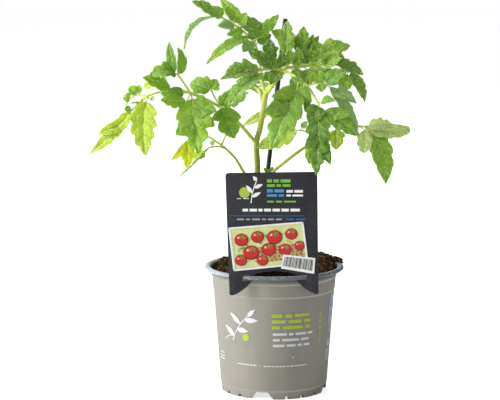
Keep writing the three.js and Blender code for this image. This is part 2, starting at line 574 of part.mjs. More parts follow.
// Half the width of a blade at a share of its length, as part of its greatest half width
const bladeOutline = (share) => 2.43 * Math.sqrt(share) * (1 - share) ** 0.85;

// The corners across a blade, from left to right on its upper face and then back on its lower face.
// A folded blade has six, with two of them on its midrib, and a flat one has four.
function crossSection(centre, forward, face, halfWidth, thickness, { lean = 0, lifts = [0, 0], folded }) {
  const up = face.clone().addScaledVector(forward, -face.dot(forward)).normalize();
  const side = forward.clone().cross(up);
  const edge = (sign, lift) =>
    centre
      .clone()
      .addScaledVector(side, sign * halfWidth)
      .addScaledVector(forward, lean)
      .addScaledVector(up, lift);
  const row = [edge(-1, lifts[0]), ...(folded ? [centre.clone()] : []), edge(1, lifts[1])];
  const upper = row.map((point) => point.clone().addScaledVector(up, thickness / 2));
  const lower = row.map((point) => point.clone().addScaledVector(up, -thickness / 2));
  return [...upper, ...lower.reverse()];
}

// A toothed leaflet, folded a little along its midrib, with its stalk
function leafletBody([base, tip, width, face, arch, { bow = 0 } = {}], foot) {
  const look = vector(face).normalize();
  const [start, end] = [vector(base), vector(tip)];
  const chord = end.clone().sub(start);
  const rise = look.clone().addScaledVector(chord, -look.dot(chord) / chord.lengthSq()).normalize();
  const sideways = chord.clone().cross(rise).normalize();
  const middle = start.clone().add(end).multiplyScalar(0.5);
  middle.addScaledVector(rise, 2 * arch).addScaledVector(sideways, 2 * bow);
  const midrib = new THREE.QuadraticBezierCurve3(start, middle, end);
  const steps = width > 20 ? 7 : width > 16 ? 5 : width > 8 ? 4 : 3;
  const folded = width > NARROW;
  const sections = [];
  const stalk = start.clone().sub(foot);
  if (stalk.length() > 1)
    sections.push(crossSection(foot, stalk.normalize(), look, STALK_WIDTH / 2, STALK_THICKNESS, { folded }));
  for (let i = 0; i <= steps; i++) {
    const share = i / steps;
    const ends = i === 0 || i === steps;
    const edge = i % 2 === 1 ? TOOTH : NOTCH;
    const full = (width / 2) * bladeOutline(share) * edge.width;
    const halfWidth = i === 0 ? STALK_WIDTH / 2 : Math.max(full, TIP_WIDTH / 2);
    const lean = ends ? 0 : edge.lean * (chord.length() / steps);
    const lift = folded && !ends ? FOLD * halfWidth : 0;
    const wave = ends ? 0 : WAVE * width * (edge === TOOTH ? 1 : -1);
    const thickness = i === 0 ? STALK_THICKNESS : BLADE;
    const shape = { lean, lifts: [lift + wave, lift - wave], folded };
    sections.push(
      crossSection(midrib.getPoint(share), midrib.getTangent(share), look, halfWidth, thickness, shape),
    );
  }
  return skin(sections);
}

// A closed mesh over a row of sections, whose two broad faces are split alike
function skin(sections) {
  const corners = sections[0].length;
  const across = corners / 2;
  const points = sections.flat();
  const faces = [];
  for (let i = 0; i < sections.length - 1; i++)
    for (let k = 0; k < corners; k++) {
      const a = i * corners + k;
      const b = i * corners + ((k + 1) % corners);
      const [c, d] = [a + corners, b + corners];
      if (k < across) faces.push(a, b, c, b, d, c);
      else faces.push(a, b, d, a, d, c);
    }
  const last = (sections.length - 1) * corners;
  for (let k = 0; k < across - 1; k++) {
    const [a, b, c, d] = [k, k + 1, corners - 1 - k, corners - 2 - k];
    faces.push(a, c, b, b, c, d);
    faces.push(last + a, last + b, last + c, last + b, last + d, last + c);
  }
  const geometry = new THREE.BufferGeometry().setFromPoints(points);
  geometry.setIndex(faces);
  return solid(geometry);
}

// Where the stalk of a leaflet leaves the nearest of the leaf's stalks, a little back towards the stem
function nearestFoot(base, stalks) {
  const samples = 80;
  const target = vector(base);
  let best = { distance: Infinity };
  for (const [points] of stalks) {
    const curve = smoothPath(points);
    for (let i = 0; i <= samples; i++) {
      const distance = curve.getPointAt(i / samples).distanceTo(target);
      if (distance < best.distance) best = { distance, curve, share: i / samples };
    }
  }
  const back = (0.5 * best.distance) / best.curve.getLength();
  return best.curve.getPointAt(Math.max(0, best.share - back));
}

function leafBody({ stalks, leaflets }, clearance) {
  const bodies = stalks.map(([points, footRadius, tipRadius], i) =>
    solid(bentTube(points, footRadius, tipRadius, 5, i === 0 ? 2 * (points.length - 1) : 3)),
  );
  for (const leaflet of leaflets) {
    const foot = leaflet[5]?.foot ? vector(leaflet[5].foot) : nearestFoot(leaflet[0], stalks);
    bodies.push(leafletBody(leaflet, foot));
  }
  const joined = wasm.Manifold.union(bodies).subtract(clearance).simplify(SLIVER);
  return wasm.Manifold.compose(joined.decompose().filter((body) => body.volume() > CRUMB));
}

// The plant

const plant = new THREE.Group();
plant.name = "cherry_tomato_plant";
plant.add(mesh("pot", potBody(), COLOURS.pot, 0.6));
plant.add(mesh("soil", soilBody(stakeBody(GAP)), COLOURS.soil, 1));
plant.add(mesh("plant_label", cardBody(), COLOURS.plant_label, 0.5));
plant.add(mesh("support_stake", stakeBody(0), COLOURS.support_stake, 0.5));
plant.add(mesh("main_stem", stemBody(0), COLOURS.main_stem, 0.6));
const stemClearance = stemBody(GAP + 0.1);
for (const [name, leaf] of Object.entries(LEAVES))
  plant.add(mesh(name, leafBody(leaf, stemClearance), COLOURS.leaf, 0.7));

export default plant;
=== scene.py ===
# %% [markdown]
# A young cherry tomato plant in its nursery pot. The real object is a taupe plastic pot with a grey rim,
# dark peat, a thin black stake, a charcoal card that straddles the rim, and a plant with one hairy stem
# and lobed compound leaves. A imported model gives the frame, where every piece already has its place in
# metres. This lesson dresses that frame: it makes the smooth pot, the loose soil, the printed card and
# every leaflet with its teeth and veins, in the places that the frame gives.

# %% The frame
import math
import random

import bmesh
import bpy
import numpy as np
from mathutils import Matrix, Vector, noise


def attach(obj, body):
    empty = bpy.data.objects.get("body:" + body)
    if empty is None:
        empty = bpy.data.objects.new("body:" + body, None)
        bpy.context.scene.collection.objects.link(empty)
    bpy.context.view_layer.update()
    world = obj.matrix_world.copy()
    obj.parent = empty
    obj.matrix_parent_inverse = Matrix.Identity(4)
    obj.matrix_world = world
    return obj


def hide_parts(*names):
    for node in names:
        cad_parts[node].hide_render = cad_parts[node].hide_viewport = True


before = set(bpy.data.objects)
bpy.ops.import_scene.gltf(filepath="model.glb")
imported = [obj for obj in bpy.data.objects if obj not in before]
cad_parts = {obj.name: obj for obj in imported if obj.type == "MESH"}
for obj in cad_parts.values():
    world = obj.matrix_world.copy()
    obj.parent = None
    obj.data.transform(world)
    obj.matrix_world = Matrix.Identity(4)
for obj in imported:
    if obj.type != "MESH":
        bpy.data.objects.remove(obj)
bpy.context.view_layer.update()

MM = 0.001
BODY = "root"
print("the frame holds", len(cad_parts), "nodes")

# %% [markdown]
# The photograph was taken from the front, from about 1.8 metres away and a little above the plant, which
# is why the pot's mouth shows as a narrow ellipse. A long lens at that distance gives the same flat
# perspective. The camera looks straight at a point in the middle of the plant.

# %% The camera
CAMERA_AT = (-0.021, -1.780, 0.433)
CAMERA_AIM = (-0.021, 0.0, 0.167)
LENS_MM = 149


def turned_to(place, aim):
    """The rotation that points an object's -Z axis from its place to its aim."""
    return (Vector(aim) - Vector(place)).to_track_quat("-Z", "Y").to_euler()


def in_scene(name, data):
    """A new object in the scene that shows the data."""
    made = bpy.data.objects.new(name, data)
    bpy.context.scene.collection.objects.link(made)
    return made


camera_data = bpy.data.cameras.new("camera")
camera_data.lens = LENS_MM
camera = in_scene("camera", camera_data)
camera.location = CAMERA_AT
camera.rotation_euler = turned_to(CAMERA_AT, CAMERA_AIM)
bpy.context.scene.camera = camera
print("the camera stands", round(math.dist(CAMERA_AT, CAMERA_AIM), 2), "metres away")

# %% [markdown]
# The sky, the finishes and the shapes that repeat are all described by node trees. Such a tree could be
# wired by hand, link by link. Here one helper adds a node and fills its inputs from plain values or from
# the outputs of other nodes, so that a tree reads like a sum. The helpers after it place the nodes that
# come back most: a clamped map from one range to another, and a sum or product of two values.

# %% Helpers for node trees
def node_tree(owner):
    """The owner's emptied node tree."""
    owner.use_nodes = True
    owner.node_tree.nodes.clear()
    return owner.node_tree


def feed(node, values):
    """Links each named input of the node to its value where that is a socket, and otherwise sets it."""
    for label, value in values.items():
        if isinstance(value, bpy.types.NodeSocket):
            node.id_data.links.new(value, node.inputs[label])
        else:
            node.inputs[label].default_value = value


def add_node(tree, kind, inputs=None, **settings):
    """A new node of that kind, with its properties set and its inputs fed."""
    node = tree.nodes.new(kind)
    for name, value in settings.items():
        setattr(node, name, value)
    feed(node, inputs or {})
    return node


def out_of(tree, kind, output, inputs=None, **settings):
    """One output of a new node."""
    return add_node(tree, kind, inputs, **settings).outputs[output]


def tree_of(*values):
    """The node tree of the first value that is a socket."""
    return next(value.id_data for value in values if isinstance(value, bpy.types.NodeSocket))


def ramped(value, low, high, to_low=0.0, to_high=1.0):
    """The output of a clamped map from low..high to to_low..to_high."""
    inputs = {"Value": value, "From Min": low, "From Max": high, "To Min": to_low, "To Max": to_high}
    return out_of(tree_of(value), "ShaderNodeMapRange", "Result", inputs)


def worked(operation, first, second=0.0):
    """The output of a Math node."""
    inputs = {0: first, 1: second}
    return out_of(tree_of(first, second), "ShaderNodeMath", "Value", inputs, operation=operation)


def times(first, second):
    """The product of two values."""
    return worked("MULTIPLY", first, second)


print("the helpers are", *[helper.__name__ for helper in (add_node, out_of, ramped, worked, times)])

# %% [markdown]
# A plant on a white sheet in a studio needs a broad soft light. One large lamp stands far to the left,
# so the pot fades from light on its left to dusk on its right. A weaker lamp opens the shadows, and a
# third stands behind and lets the thin leaves glow at their edges. The sky is a plain white that fills
# in the rest. It could be a picture of a studio, but a plain one leaves the pot's shades to the lamps.

# %% The light
SKY_FOR_CAMERA = 1.0
SKY_FOR_LIGHT = 0.275
LAMPS = {
    "key": {"at": (-1.75, -0.5, 0.95), "size": 1.0, "watts": 49.5},
    "fill": {"at": (0.6, -1.9, 1.2), "size": 1.2, "watts": 4},
    "back": {"at": (-0.3, 1.5, 1.4), "size": 1.0, "watts": 14},
}
PLANT_MIDDLE = (0, 0, 0.2)
WHITE_LIGHT = (1, 1, 1, 1)

sky = bpy.data.worlds.new("sky")
bpy.context.scene.world = sky
sky_tree = node_tree(sky)
seen = out_of(sky_tree, "ShaderNodeLightPath", "Is Camera Ray")
strength = ramped(seen, 0, 1, SKY_FOR_LIGHT, SKY_FOR_CAMERA)
shine = {"Color": WHITE_LIGHT, "Strength": strength}
surface = out_of(sky_tree, "ShaderNodeBackground", "Background", shine)
add_node(sky_tree, "ShaderNodeOutputWorld", {"Surface": surface})

for name, lamp in LAMPS.items():
    light = bpy.data.lights.new(name, "AREA")
    light.size = lamp["size"]
    light.energy = lamp["watts"]
    lamp_object = in_scene(name, light)
    lamp_object.location = lamp["at"]
    lamp_object.rotation_euler = turned_to(lamp["at"], PLANT_MIDDLE)
    print("the", name, "lamp gives", lamp["watts"], "watts")

bpy.context.scene.view_settings.view_transform = "Standard"

# %% [markdown]
# Every mesh in this lesson is made from a list of points and a list of faces. One helper turns the two
# into an object, and one finishes a piece: it rides on the plant's body and stands for the plain solid
# that it replaces.

# %% Making and finishing a piece
def mesh_object(name, points, faces, materials=(), smooth=True):
    """An object made of these points, in metres, and faces."""
    data = bpy.data.meshes.new(name)
    data.from_pydata([tuple(point) for point in points], [], faces)
    data.update()
    data.shade_smooth() if smooth else data.shade_flat()
    for material in materials:
        data.materials.append(material)
    return in_scene(name, data)


def settled(name, source):
    """A plain mesh object of what source looks like once its modifiers have run. source is removed."""
    graph = bpy.context.evaluated_depsgraph_get()
    data = bpy.data.meshes.new_from_object(source.evaluated_get(graph))
    data.transform(source.matrix_world)
    bpy.data.objects.remove(source)
    data.name = name
    return in_scene(name, data)


def finish_piece(piece, replaced=None):
    """The piece rides on the plant's body and is counted."""
    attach(piece, BODY)
    if replaced:
        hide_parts(replaced)
    piece.data.calc_loop_triangles()
    print(piece.name, "has", len(piece.data.loop_triangles), "triangles")


print("every piece rides on", BODY)

# %% [markdown]
# The plant stands on a plain white sheet. A bent sheet could rise behind it, as in a studio. A flat one
# is enough here, because it is made to look fully lit wherever the camera sees it.

# %% The floor
FLOOR_HALF = 6.0
SIGNS = ((-1, -1), (1, -1), (1, 1), (-1, 1))

floor = mesh_object("floor", [(x * FLOOR_HALF, y * FLOOR_HALF, 0) for x, y in SIGNS], [(0, 1, 2, 3)])
print("the floor is", 2 * FLOOR_HALF, "metres wide")

# %% [markdown]
# Each finish is one Principled shader that is fed by patterns. Two effects come back in nearly all of
# them. Mottling is soft uneven noise between 0 and 1, for cloudy colour or smudged gloss. Grain is a
# fine bump that takes the smoothness of a computer surface away. Both are built once, as node groups
# with named inputs, and each finish places them with values of its own.

# %% The shared patterns
CLOUD_LOW, CLOUD_HIGH = 0.34, 0.66
GRAIN_DETAIL = 4


def new_group(kind, name, inputs, outputs):
    """An empty node group. Each input has a type and a value or None, each output a type."""
    group = bpy.data.node_groups.new(name, kind)
    for label, (socket_type, value) in inputs.items():
        socket = group.interface.new_socket(label, in_out="INPUT", socket_type="NodeSocket" + socket_type)
        if value is not None:
            socket.default_value = value
    for label, socket_type in outputs.items():
        group.interface.new_socket(label, in_out="OUTPUT", socket_type="NodeSocket" + socket_type)
    return group, add_node(group, "NodeGroupInput").outputs


def pattern_group(name, inputs, outputs):
    """An empty shader group, whose inputs are plain numbers."""
    inputs = {label: ("Float", value) for label, value in inputs.items()}
    return new_group("ShaderNodeTree", name, inputs, outputs)


def on_object(tree):
    """The place on the object, in metres."""
    return out_of(tree, "ShaderNodeTexCoord", "Object")


def mottling_group():
    """Cloudy noise over the object, stretched to the full range from 0 to 1."""
    given_values = {"Scale": 50.0, "Detail": 3.0, "Stretch": 1.0}
    group, given = pattern_group("Mottling", given_values, {"Value": "Float"})
    factors = out_of(group, "ShaderNodeCombineXYZ", "Vector", {"X": 1, "Y": 1, "Z": given["Stretch"]})
    both = {0: on_object(group), 1: factors}
    place = out_of(group, "ShaderNodeVectorMath", "Vector", both, operation="MULTIPLY")
    inputs = {"Vector": place, "Scale": given["Scale"], "Detail": given["Detail"]}
    cloud = out_of(group, "ShaderNodeTexNoise", "Fac", inputs)
    add_node(group, "NodeGroupOutput", {"Value": ramped(cloud, CLOUD_LOW, CLOUD_HIGH)})
    return group


def grain_group():
    """A bumpy normal from fine noise."""
    group, given = pattern_group("Grain", {"Scale": 900.0, "Depth": 0.0001}, {"Normal": "Vector"})
    inputs = {"Vector": on_object(group), "Scale": given["Scale"], "Detail": GRAIN_DETAIL}
    cloud = out_of(group, "ShaderNodeTexNoise", "Fac", inputs)
    bump = {"Strength": 1, "Height": cloud, "Distance": given["Depth"]}
    add_node(group, "NodeGroupOutput", {"Normal": out_of(group, "ShaderNodeBump", "Normal", bump)})
    return group


MOTTLING = mottling_group()
GRAIN = grain_group()


def mottled(tree, scale, detail=3.0, stretch=1.0):
    """The value of the mottling. A small stretch draws it out along the Z axis."""
    inputs = {"Scale": scale, "Detail": detail, "Stretch": stretch}
    return out_of(tree, "ShaderNodeGroup", "Value", inputs, node_tree=MOTTLING)


def grained(tree, scale, depth):
    """The normal of the grain, with its depth in metres."""
    return out_of(tree, "ShaderNodeGroup", "Normal", {"Scale": scale, "Depth": depth}, node_tree=GRAIN)


print("the shared patterns are", MOTTLING.name, "and", GRAIN.name)

# %% [markdown]
# Colours are written as a paint shop would note them, as red, green and blue from 0 to 255 on a screen.
# The shader wants light, so one helper turns a screen colour into linear light, and the colour mix uses
# it on every screen colour that it is given.

# %% Colours and a finish to start from
def light_of(screen):
    """The linear colour, with full alpha, of a screen colour."""
    def channel(value):
        share = value / 255
        return share / 12.92 if share <= 0.04045 else ((share + 0.055) / 1.055) ** 2.4
    return (*[channel(value) for value in screen], 1)


def mixed(factor, first, second):
    """The output of a colour mix. first and second are sockets or screen colours."""
    colours = [light_of(one) if isinstance(one, tuple) else one for one in (first, second)]
    inputs = {"Factor": factor, "A": colours[0], "B": colours[1]}
    return out_of(tree_of(factor, first), "ShaderNodeMix", "Result", inputs, data_type="RGBA")


def finish_of(name, screen, roughness, **plain):
    """A material with one Principled shader. plain holds shader inputs by name, with _ for a space."""
    material = bpy.data.materials.new(name)
    material.diffuse_color = light_of(screen)
    tree = node_tree(material)
    inputs = {"Base Color": light_of(screen), "Roughness": roughness}
    inputs.update({label.replace("_", " "): value for label, value in plain.items()})
    shader = add_node(tree, "ShaderNodeBsdfPrincipled", inputs)
    add_node(tree, "ShaderNodeOutputMaterial", {"Surface": shader.outputs["BSDF"]})
    return material, tree, shader


print("a middle grey gives back", round(light_of((128, 128, 128))[0], 2), "of the light")

# %% The white sheet's finish
FLOOR_GLOW = 0.72

white_sheet, sheet_tree, sheet_shader = finish_of("white_sheet", (252, 252, 252), 0.9)
seen = out_of(sheet_tree, "ShaderNodeLightPath", "Is Camera Ray")
feed(sheet_shader, {
    "Base Color": mixed(mottled(sheet_tree, scale=2), (252, 252, 252), (248, 249, 250)),
    "Emission Color": WHITE_LIGHT,
    "Emission Strength": ramped(seen, 0, 1, 0, FLOOR_GLOW),
})
floor.data.materials.append(white_sheet)
print("the floor glows by", FLOOR_GLOW, "where the camera sees it")

# %% [markdown]
# The pot is injection moulded in a taupe plastic, with faint upright streaks from the mould and a little
# dust. A painted highlight runs along its ridges and a painted shadow sits under its lip, both stronger
# on the right. The rim is a rolled band with a cooler grey, satin face that the light finds first, with
# pale scuffs, and a painted highlight makes its left end nearly white. Inside the pot is black. The
# highlights and the shadow could be painted on a picture. Here they follow the heights of the ridges and
# the lip, so they stay on them.

# %% The pot's finishes
FOOT_LINE = 7.2
LOWER_RIDGE = 90
UPPER_RIDGE = 101.4
# Reaches of the painted highlight on the ridges and of the painted shadow under the lip, in mm.
RIDGE_HIGHLIGHT_FULL, RIDGE_HIGHLIGHT_NONE = 0.25, 0.95
LIP_SHADOW_STARTS, LIP_SHADOW_FULL = 1.2, 3.2


def object_axes(tree):
    """The X, Y and Z of the place on the object, in metres."""
    return add_node(tree, "ShaderNodeSeparateXYZ", {"Vector": on_object(tree)}).outputs


def pot_outside_finish():
    """Taupe plastic with streaks, dust and grain, painted ridge highlights and a painted shadow under the
    lip.
    """
    material, tree, shader = finish_of("pot_outside", (150, 146, 137), 0.55, Specular_IOR_Level=0.4)
    axes = object_axes(tree)
    streaks = mottled(tree, scale=160, detail=3, stretch=0.07)
    dust = mottled(tree, scale=38, detail=5)
    streaked = mixed(streaks, (147, 143, 133), (151, 147, 138))
    dusted = mixed(ramped(dust, 0.45, 1.0, 0.0, 0.2), streaked, (166, 162, 153))
    # Painted highlight: a pale line along each ridge and the foot line, stronger towards the right.
    ridge_highlights = 0.0
    for height in (FOOT_LINE, LOWER_RIDGE, UPPER_RIDGE):
        away = worked("ABSOLUTE", worked("SUBTRACT", axes["Z"], height * MM))
        line = ramped(away, RIDGE_HIGHLIGHT_FULL * MM, RIDGE_HIGHLIGHT_NONE * MM, 1.0, 0.0)
        ridge_highlights = worked("MAXIMUM", ridge_highlights, line)
    away_from_lamp = ramped(axes["X"], -0.04, 0.03, 0.15, 0.75)
    made_paler = mixed(times(ridge_highlights, away_from_lamp), dusted, (196, 192, 182))
    # Painted shadow: the band under the lip is darkened, more towards the right.
    starts, full = (UPPER_RIDGE + LIP_SHADOW_STARTS) * MM, (UPPER_RIDGE + LIP_SHADOW_FULL) * MM
    lip_shadow = ramped(axes["Z"], starts, full)
    feed(shader, {
        "Base Color": mixed(times(lip_shadow, away_from_lamp), made_paler, (72, 69, 64)),
        "Roughness": ramped(dust, 0, 1, 0.45, 0.7),
        "Normal": grained(tree, scale=1400, depth=0.00012),
    })
    return material


def pot_rim_finish():
    """Blue-grey satin plastic with pale scuffs, a painted highlight that whitens its left, and specks of
    soil.
    """
    material, tree, shader = finish_of("pot_rim", (118, 124, 131), 0.38, Specular_IOR_Level=0.55)
    scuffs = mottled(tree, scale=260, detail=6, stretch=2.5)
    patches = mottled(tree, scale=45, detail=2)
    specks = mottled(tree, scale=900, detail=1)
    # Painted highlight: the left end of the rim is made paler, nearly white.
    left_highlight = ramped(object_axes(tree)["X"], -0.03, -0.052, 0.0, 0.85)
    scuffed = times(ramped(scuffs, 0.55, 0.9), patches)
    patchy_highlight = times(left_highlight, ramped(scuffs, 0.1, 0.45, 0.75, 1.0))
    scuffs_and_highlight = worked("MAXIMUM", scuffed, patchy_highlight)
    made_paler = mixed(scuffs_and_highlight, (110, 118, 125), (196, 203, 208))
    dirty = ramped(specks, 0.86, 0.98, 0.0, 0.7)
    feed(shader, {
        "Base Color": mixed(dirty, made_paler, (60, 56, 52)),
        "Roughness": ramped(scuffs_and_highlight, 0, 1, 0.34, 0.6),
        "Normal": grained(tree, scale=700, depth=0.00015),
    })
    return material


def pot_inside_finish():
    """Black plastic with a little dry soil on it."""
    material, tree, shader = finish_of("pot_inside", (26, 26, 27), 0.42)
    dusty = ramped(mottled(tree, scale=300, detail=5), 0.6, 1.0, 0.0, 0.5)
    feed(shader, {
        "Base Color": mixed(dusty, (24, 24, 25), (70, 58, 46)),
        "Normal": grained(tree, scale=900, depth=0.0001),
    })
    return material


POT_COATS = (pot_outside_finish(), pot_rim_finish(), pot_inside_finish())
OUTSIDE, RIM, INSIDE = range(3)
print("the pot has", len(POT_COATS), "finishes")

# %% [markdown]
# The pot is a turned body: one profile, spun about the upright axis. It could be moulded from a cylinder
# with loop cuts, but a profile keeps the heights and radii of the frame's pot. Each corner of the profile
# is first rounded by a fraction of a millimetre, as every moulded corner is, so that it catches a line
# of light.

# %% The pot's profile
POT_HEIGHT = 110
RIM_RADIUS = 61
LIP_HEIGHT = 3.3
MOUTH_RADIUS = 55.6
BASE_RADIUS = 45.7
WALL_TAPER = 0.079
WALL = 1.4
RIDGE = 0.4
FLOOR_BOTTOM = 8
FLOOR_TOP = 9.6
PAD_RADIUS = 8
CORNER_SHARE = 0.35
CORNER_REACH = 0.7
CORNER_STEPS = 3
POT_SECTORS = 180


def wall_radius(z):
    """The outer radius of the pot's wall at a height, in mm."""
    return BASE_RADIUS + WALL_TAPER * z


def bend(start, middle, end, steps=10):
    """Points on a quadratic curve, without its first."""
    start, middle, end = (np.array(point, float) for point in (start, middle, end))
    shares = np.linspace(0, 1, steps + 1)[1:]
    return [tuple((1 - s) ** 2 * start + 2 * s * (1 - s) * middle + s ** 2 * end) for s in shares]


def rounded(corners):
    """The points of an open line with every inner corner rounded off."""
    line = [corners[0]]
    for before, corner, after in zip(corners, corners[1:], corners[2:]):
        before, corner, after = (np.array(point, float) for point in (before, corner, after))
        back, on = before - corner, after - corner
        start = corner + back * min(CORNER_SHARE, CORNER_REACH / np.linalg.norm(back))
        end = corner + on * min(CORNER_SHARE, CORNER_REACH / np.linalg.norm(on))
        line += [tuple(start), *bend(start, corner, end, CORNER_STEPS)]
    return line + [corners[-1]]


FOOT_INSIDE = wall_radius(0) - 2 * WALL
LIP_BOTTOM = POT_HEIGHT - LIP_HEIGHT
NECK = UPPER_RIDGE + RIDGE
POT_PROFILE = [
    (0, 0),
    (PAD_RADIUS, 0),
    (PAD_RADIUS, FLOOR_BOTTOM),
    (FOOT_INSIDE, FLOOR_BOTTOM),
    (FOOT_INSIDE - RIDGE, 0),
    (wall_radius(0), 0),
    (wall_radius(FOOT_LINE), FOOT_LINE - RIDGE),
    (wall_radius(FOOT_LINE) + RIDGE, FOOT_LINE + RIDGE),
    (wall_radius(LOWER_RIDGE), LOWER_RIDGE - RIDGE),
    (wall_radius(LOWER_RIDGE) + RIDGE, LOWER_RIDGE + RIDGE),
    (wall_radius(UPPER_RIDGE) + RIDGE, UPPER_RIDGE - RIDGE),
    (MOUTH_RADIUS - 2 * RIDGE, NECK),
    (MOUTH_RADIUS - RIDGE, LIP_BOTTOM),
    (RIM_RADIUS - 3 * RIDGE, LIP_BOTTOM),
    (RIM_RADIUS, LIP_BOTTOM + LIP_HEIGHT / 3),
    (RIM_RADIUS - RIDGE, POT_HEIGHT - 2 * RIDGE),
    (RIM_RADIUS - WALL, POT_HEIGHT),
    (MOUTH_RADIUS + WALL, POT_HEIGHT),
    (MOUTH_RADIUS, POT_HEIGHT - 2 * RIDGE),
    (MOUTH_RADIUS - WALL, LIP_BOTTOM),
    (MOUTH_RADIUS - WALL - 2 * RIDGE, NECK),
    (wall_radius(NECK) - WALL - RIDGE, NECK - WALL),
    (wall_radius(FLOOR_TOP) - WALL, FLOOR_TOP),
    (0, FLOOR_TOP),
]


def circle(radius, sides):
    """Points around a circle, anticlockwise."""
    angles = np.linspace(0, 2 * math.pi, sides, endpoint=False)
    return [(radius * math.cos(angle), radius * math.sin(angle)) for angle in angles]


def turned(profile, sectors):
    """Points, in mm, and faces of a closed body spun about the Z axis. The profile ends on the axis."""
    rings = profile[1:-1]
    points = [(x, y, height) for radius, height in rings for x, y in circle(radius, sectors)]
    points = [(0, 0, profile[0][1]), *points, (0, 0, profile[-1][1])]
    last, top = len(points) - 1, 1 + (len(rings) - 1) * sectors
    faces = []
    for k in range(sectors):
        after = (k + 1) % sectors
        faces.append((0, 1 + after, 1 + k))
        for low in range(1, top, sectors):
            high = low + sectors
            faces.append((low + k, low + after, high + after, high + k))
        faces.append((last, top + k, top + after))
    return np.array(points), faces


pot_points, pot_faces = turned(rounded(POT_PROFILE), POT_SECTORS)
pot_body = mesh_object("pot_body", pot_points * MM, pot_faces)
print("the pot's profile has", len(rounded(POT_PROFILE)), "points")

# %% [markdown]
# The foot ring is cut by four wide notches, which let water run away from under the pot, with three
# narrow ones between each pair, and the raised floor has eight round holes. The cutters repeat around
# the axis. They could be set one by one, but a Geometry Nodes tree makes each ring of them: it places
# one cutter on the points of a circle and turns each copy to face outwards. A Boolean then takes all of
# them out of the pot.

# %% The ring of cutters
def geometry_group(name, inputs):
    """An empty Geometry Nodes group that takes a geometry and a material, besides its own inputs."""
    inputs = {"Geometry": ("Geometry", None), **inputs, "Material": ("Material", None)}
    return new_group("GeometryNodeTree", name, inputs, {"Geometry": "Geometry"})


def end_tree(group, given, geometry):
    """Ends the tree in Realize Instances and Set Material."""
    real = out_of(group, "GeometryNodeRealizeInstances", "Geometry", {"Geometry": geometry})
    inputs = {"Geometry": real, "Material": given["Material"]}
    coated = out_of(group, "GeometryNodeSetMaterial", "Geometry", inputs)
    add_node(group, "NodeGroupOutput", {"Geometry": coated})
    return group


def apply_nodes(piece, group, **values):
    """Runs the tree on the piece and gives the result as a plain mesh object. The piece is removed."""
    modifier = piece.modifiers.new(group.name, "NODES")
    modifier.node_group = group
    for item in group.interface.items_tree:
        if item.item_type == "SOCKET" and item.in_out == "INPUT" and item.name in values:
            modifier[item.identifier] = values[item.name]
    return settled(piece.name, piece)


def ring_group():
    """Copies the geometry around the Z axis, each copy turned to face outwards."""
    group, given = geometry_group("Ring of copies", {"Count": ("Int", 8), "Turn": ("Float", 0.0)})
    places = out_of(group, "GeometryNodePoints", "Points", {"Count": given["Count"]})
    index = out_of(group, "GeometryNodeInputIndex", "Index")
    share = worked("DIVIDE", index, given["Count"])
    sums = {0: share, 1: 2 * math.pi, 2: given["Turn"]}
    angle = out_of(group, "ShaderNodeMath", "Value", sums, operation="MULTIPLY_ADD")
    turn = out_of(group, "ShaderNodeCombineXYZ", "Vector", {"Z": angle})
    rotation = out_of(group, "FunctionNodeEulerToRotation", "Rotation", {"Euler": turn})
    inputs = {"Points": places, "Instance": given["Geometry"], "Rotation": rotation}
    copies = out_of(group, "GeometryNodeInstanceOnPoints", "Instances", inputs)
    return end_tree(group, given, copies)


RING_OF_COPIES = ring_group()
print("the ring's tree has", len(RING_OF_COPIES.nodes), "nodes")

# %% The notches and the holes
WIDE_NOTCHES = 4
WIDE_NOTCH_TOP = 10.5
WIDE_NOTCH_BOTTOM = 19
WIDE_NOTCH_HEIGHT = 6.5
FIRST_NOTCH = math.radians(-103.5)
SMALL_NOTCHES = [math.radians(angle) for angle in (27, 45, 63)]
SMALL_NOTCH_WIDTH = 2.8
SMALL_NOTCH_HEIGHT = 2.8
DRAIN_HOLES = 8
DRAIN_RADIUS = 4
DRAIN_CIRCLE = 32
DRAIN_SIDES = 24


def cutter(near, far):
    """A closed solid between two outlines in mm, which have the same number of corners."""
    count = len(near)
    faces = [tuple(reversed(range(count))), tuple(range(count, 2 * count))]
    faces += [(k, (k + 1) % count, count + (k + 1) % count, count + k) for k in range(count)]
    return mesh_object("cutter", np.array(near + far) * MM, faces, smooth=False)


def notch(outline, near, far):
    """A cutter between x = near and x = far, over an outline of (y, z) points."""
    return cutter([(near, y, z) for y, z in outline], [(far, y, z) for y, z in outline])


def wide_notch():
    """A notch with sloping sides and rounded upper corners."""
    foot, top = WIDE_NOTCH_BOTTOM / 2 + 1, WIDE_NOTCH_TOP / 2
    outline = rounded([(-foot, -1), (-top, WIDE_NOTCH_HEIGHT), (top, WIDE_NOTCH_HEIGHT), (foot, -1)])
    return notch(outline[::-1], FOOT_INSIDE - 6 * WALL, wall_radius(FLOOR_BOTTOM) + 3)


def small_notch():
    """A small square notch."""
    side, top = SMALL_NOTCH_WIDTH / 2, SMALL_NOTCH_HEIGHT
    outline = [(side, -1), (side, top), (-side, top), (-side, -1)]
    return notch(outline, FOOT_INSIDE - 2 * WALL, wall_radius(0) + 2)


def drain_hole():
    """A round cutter that goes through the raised floor."""
    ring = circle(DRAIN_RADIUS, DRAIN_SIDES)
    low, high = ([(DRAIN_CIRCLE + x, y, z) for x, y in ring] for z in (FLOOR_BOTTOM - 1, FLOOR_TOP + 1))
    return cutter(low, high)


def cut_with(body, tool, count, first_angle):
    """Takes a ring of cutters out of the body."""
    ring = apply_nodes(tool, RING_OF_COPIES, Count=count, Turn=first_angle, Material=POT_COATS[OUTSIDE])
    cut = body.modifiers.new("cut", "BOOLEAN")
    cut.operation = "DIFFERENCE"
    cut.solver = "EXACT"
    cut.object = ring
    done = settled(body.name, body)
    bpy.data.objects.remove(ring)
    return done


